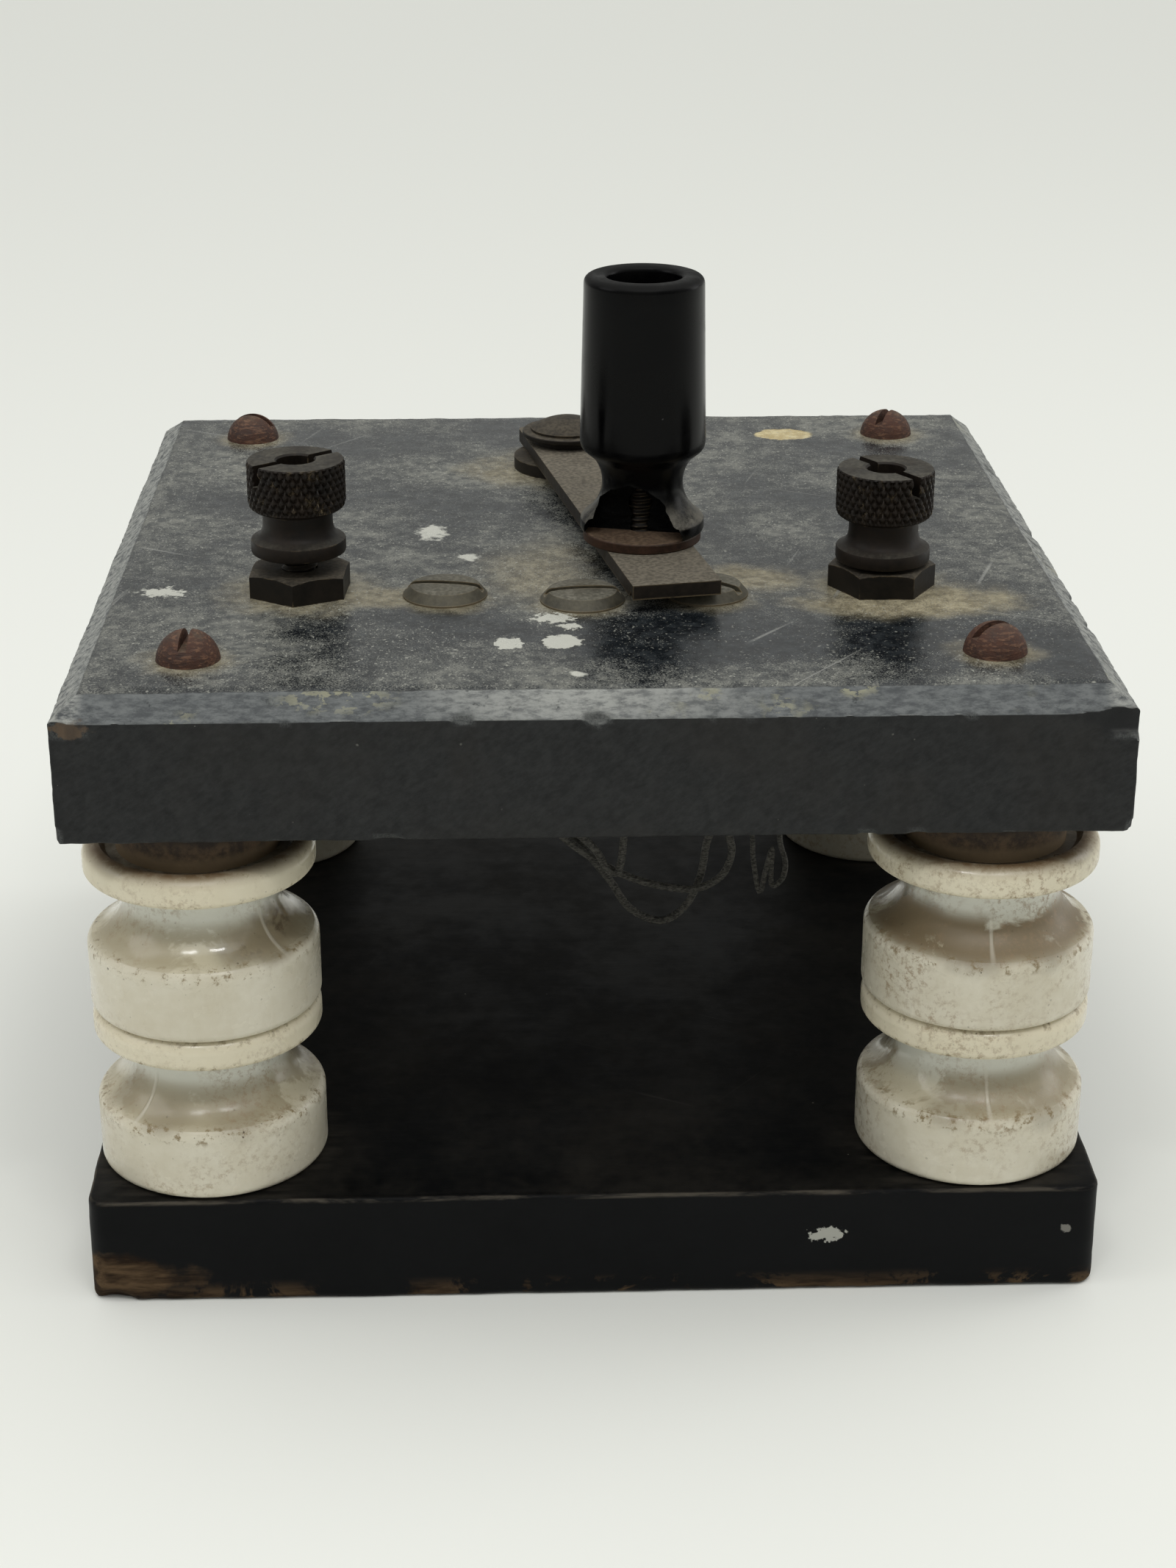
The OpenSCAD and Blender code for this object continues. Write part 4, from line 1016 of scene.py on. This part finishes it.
def make_thumb_nut(side, centre, recipe, slot_turn):
    """A thumb nut: turned, then knurled, then slotted across the top."""
    name = side + "_thumb_nut"
    base = level(name, False)
    tall = level(name) - base
    inner, neck, flange, head = 3.225, 5.93, 8.05, 8.3  # radii
    profile = [(inner, 0.25), (inner + 0.25, 0.0), (flange - 0.45, 0.0), (flange - 0.1, 0.2), (flange, 0.5),
               (flange, 2.15), (flange - 0.12, 2.42), (flange - 0.4, 2.56)]
    profile += [(neck + out, up) for out, up in ((1.1, 2.9), (0.7, 3.2), (0.4, 3.6), (0.16, 4.2), (0.04, 4.8),
                                                 (0, 5.4), (0, 6.3), (0, 7.2), (0.2, 7.4), (0.9, 7.55))]
    profile += [(7.5, 7.8), (7.95, 8.15), (8.2, 8.6)]
    profile += [(head, 9.1 + (tall - 9.6) * k / 34) for k in range(35)]
    profile += [(head - 0.08, tall - 0.22), (head - 0.3, tall), (inner + 0.3, tall), (inner, tall - 0.3)]
    points, faces = revolve(profile, centre, base, 308)
    obj = add_piece(name + "_turned", points, faces, [KNURLED])
    obj = run(obj, recipe, name + "_pressed", Centre=(centre[0] * MM, centre[1] * MM, base * MM), Low=8.1 * MM,
              High=(tall - 0.1) * MM, Around=36.0, Depth=0.5 * MM, Slant=430.0, Finish=KNURLED)
    long, wide, deep = 12.0, 0.85, 3.5  # half the slot's length and width, and its depth
    box = []
    for z in (base + tall - deep, base + tall + 3):
        for x, y in ((-long, -wide), (long, -wide), (long, wide), (-long, wide)):
            x, y = turned(x, y, math.radians(slot_turn))
            box.append((x + centre[0], y + centre[1], z))
    faces = [(0, 3, 2, 1), (4, 5, 6, 7), (0, 1, 5, 4), (1, 2, 6, 5), (2, 3, 7, 6), (3, 0, 4, 7)]
    obj = cut(obj, add_piece("slot_cutter", box, faces, [KNURLED]), name + "_knurled")
    shade(obj.data, 0.55)
    hand_over(obj, name, [name])


def breach_cutter(base):
    """What broke out of the handle's foot: a rough face on the screw's side, run forward past the rim."""
    front = [(-9.3, -1), (-9.1, 1.7), (-7.6, 3.1), (-6.9, 6), (-4.6, 8.2), (-1, 9.4), (2.2, 8.7), (4.7, 6.4),
             (6.1, 3.6), (7.9, 2.3), (8.7, -1)]
    rim = []
    for (x0, z0), (x1, z1) in zip(front, front[1:] + front[:1]):
        for k in range(8):
            x, z = x0 + (x1 - x0) * k / 8, z0 + (z1 - z0) * k / 8
            shift = [0.28 * noise.noise(Vector((x, z, seed)) * 0.9) for seed in (3.3, 8.8)]
            rim.append((x + shift[0], z + shift[1]))
    rim = np.array(rim)
    core = np.array([0.0, 3.2])
    n, rings, far = len(rim), 12, -17.0
    cos, sin = math.cos(math.radians(-14)), math.sin(math.radians(-14))

    def spin(x, y, z):
        return (GRIP[0] + x * cos - y * sin, GRIP[1] + x * sin + y * cos, base + z)

    points = []
    for k in range(rings, 0, -1):
        for x, z in core + (rim - core) * k / rings:
            lean = np.interp(z, [-1, 2.6, 5.4, 8, 12], [-1.75, -2.05, -1.4, -2.6, -5.2])
            lean += 0.45 * noise.fractal(Vector((x, 0.0, z)) * 0.55, 0.8, 2.0, 4)
            points.append(spin(x, min(lean, -1.2), z))
    points.append(spin(0.0, -1.7, core[1]))
    points += [spin(x, far, z) for x, z in rim]
    following = [(i, (i + 1) % n) for i in range(n)]
    last, centre, start = (rings - 1) * n, rings * n, rings * n + 1
    faces = [(r * n + i, r * n + j, (r + 1) * n + j, (r + 1) * n + i)
             for r in range(rings - 1) for i, j in following]
    faces += [(last + i, last + j, centre) for i, j in following]
    faces += [(j, i, start + i, start + j) for i, j in following]
    faces.append(tuple(range(start, start + n)))
    return add_piece("breach", points, faces, [BROKEN])


def make_handle():
    base = level("handle", False)
    tall = level("handle") - base
    foot, neck, grip, top, hole, bore = 10.8, 7.05, 10.9, 10.3, 2.5, 6.35  # radii
    hollow, mid = 6.9, 8.6  # the concave neck's radius and height
    floor, shoulder = 15.4, 16.3  # heights of the bore's floor and of the grip's lower end
    lip = 1.4  # how round the top's rim is
    profile = [(hole, 0.0), (foot - 0.6, 0.0), (foot - 0.15, 0.15), (foot, 0.6), (foot, 1.9),
               (foot - 0.12, 2.25), (foot - 0.4, 2.55)]
    profile += arc(neck + hollow, mid, hollow, 237, 140.2, 22)
    profile += [(9.3, 13.55), (9.9, 14.05), (10.4, 14.5), (10.72, 15.0), (10.86, 15.6), (grip, shoulder)]
    profile += [(grip + (top - grip) * k / 12, shoulder + (tall - lip - shoulder) * k / 12)
                for k in range(1, 12)]
    profile += arc(top - lip, tall - lip, lip, 0, 90, 7)
    profile += [(bore + 0.9, tall), (bore + 0.45, tall - 0.15), (bore + 0.12, tall - 0.45), (bore, tall - 0.9)]
    profile += [(bore, floor + (tall - 16.4) * k / 6) for k in range(5, 0, -1)]
    profile += [(bore, 15.9), (bore - 0.5, floor), (hole, floor)]
    points, faces = revolve(profile, GRIP, base, 144)
    obj = add_piece("handle_whole", points, faces, [MOULDED, BROKEN])
    obj = cut(obj, breach_cutter(base), "handle_broken")
    shade(obj.data, 0.6)
    hand_over(obj, "lever", ["handle"])


# ---- the object

add_camera()
make_slate()
make_board()
KNURL, THREAD = knurl_recipe(), thread_recipe()
make_thumb_nut("left", POSTS[0], KNURL, 38)
make_thumb_nut("right", POSTS[1], KNURL, -58)
for post, at in (("left_post", POSTS[0]), ("right_post", POSTS[1])):
    threaded(post, THREAD, at, 3.175, POST_PITCH, PATINA, "frame")
threaded("handle_screw", THREAD, GRIP, 2.4, 1.2, SHADED_COPPER, "lever", around=25)
make_handle()

FINISH = {"seat_washers": LEATHER, "corner_screws": RUST, "contact_stud": STUD_TOP, "blade": BLADE,
          "pivot_spring_washer": STEEL, "handle_": COPPER, "_wire": COTTON}
# For each knob: its seams' angles, its stains (angle, spread, height, strength) and how soiled it is.
KNOBS = {
    "upper_knob_front_left": ((-38, 142), ((-46, 7, 15, 0.9), (-22, 8.5, 16, 0.95), (-66, 5, 15, 0.5)), 0.25),
    "lower_knob_front_left": ((-128, 52), ((-112, 6, 13.5, 0.5), (-150, 6, 15, 0.4), (-70, 6, 13, 0.3)), 0.35),
    "upper_knob_front_right": ((-92, 88), ((-145, 8, 16, 0.75), (-100, 8, 13, 0.6), (-60, 7, 13, 0.5),
                                           (-172, 8, 17, 0.7)), 1.0),
    "lower_knob_front_right": ((-88, 92), ((-110, 6, 13, 0.35), (-55, 7, 12, 0.4)), 0.5),
    "upper_knob_rear_left": ((20, -160), ((60, 8, 15, 0.6),), 0.25),
    "lower_knob_rear_left": ((70, -110), ((150, 7, 14, 0.4),), 0.25),
    "upper_knob_rear_right": ((130, -50), ((100, 8, 15, 0.6),), 0.25),
    "lower_knob_rear_right": ((-20, 160), ((30, 7, 14, 0.4),), 0.25)}
for name, obj in nodes.items():
    if name in KNOBS:
        glaze = porcelain(middle(name), level(name, False), "rear" in name, *KNOBS[name])
        finish = material(name + "_glaze", glaze)
    else:
        finish = next((m for key, m in FINISH.items() if key in name), PATINA)
    for slot_index in range(len(obj.data.materials)):
        obj.data.materials[slot_index] = finish


# ---- floor, world and lamps

def add_floor():
    wide, under = 9.0, -2e-5  # metres
    corners = [(-wide, -wide, under), (wide, -wide, under), (wide, wide, under), (-wide, wide, under)]
    mesh = bpy.data.meshes.new("floor")
    mesh.from_pydata(corners, [], [(0, 1, 2, 3)])
    floor = put_in_scene("floor", mesh)
    mesh.materials.append(material("floor_paper", lambda g: {
        "Base Color": srgb(235, 236, 231), "Roughness": 0.9, "Specular IOR Level": 0.1}))


def add_world():
    """An even room, brighter overhead, dimmer in front and at the left; the camera sees a plain backdrop."""
    world = bpy.data.worlds.new("studio")
    bpy.context.scene.world = world
    world.use_nodes = True
    tree = world.node_tree
    tree.nodes.clear()
    g = Graph(tree)
    towards = g.split(g.put("ShaderNodeTexCoord", out=0))
    front = g.ramp(g.mul(towards[1], -1.0), 0.15, 0.85)
    high = g.ramp(towards[2], 0.25, 0.9)
    strength = g.plus(0.57, g.mul(high, 0.3))
    strength = g.mul(strength, g.rest(g.mul(front, g.less(0.3, g.mul(high, 0.3)))))
    strength = g.mul(strength, g.rest(g.mul(g.ramp(towards[0], -0.2, -0.9), 0.2)))
    seen = g.put("ShaderNodeLightPath", out=0)
    strength = g.plus(g.mul(strength, g.rest(seen)), seen)
    glow = g.put("ShaderNodeBackground", i0=srgb(224, 225, 221), i1=strength)
    out = tree.nodes.new("ShaderNodeOutputWorld")
    tree.links.new(glow, out.inputs[0])


add_floor()
add_world()
add_lamp("overhead", "SUN", (0.1, -0.1, 1.5), (0, 0, 0), 0.92, angle=80)
add_lamp("left_fill", "AREA", (-0.6, -0.1, 0.5), (-0.1, -0.02, 0), 0.7, 0.4, 0.4)
add_lamp("right_panel", "AREA", (0.85, 0.25, 0.42), (0, 0, 0.1), 1.1, 0.35, 0.6)
add_lamp("ceiling_left", "AREA", (-0.26, -0.66, 1.15), (0, 0, 0.05), 1.3, 0.26, 0.07)
add_lamp("ceiling_right", "AREA", (0.26, -0.66, 1.15), (0, 0, 0.05), 1.3, 0.26, 0.07)
bpy.context.scene.view_settings.view_transform = "Standard"
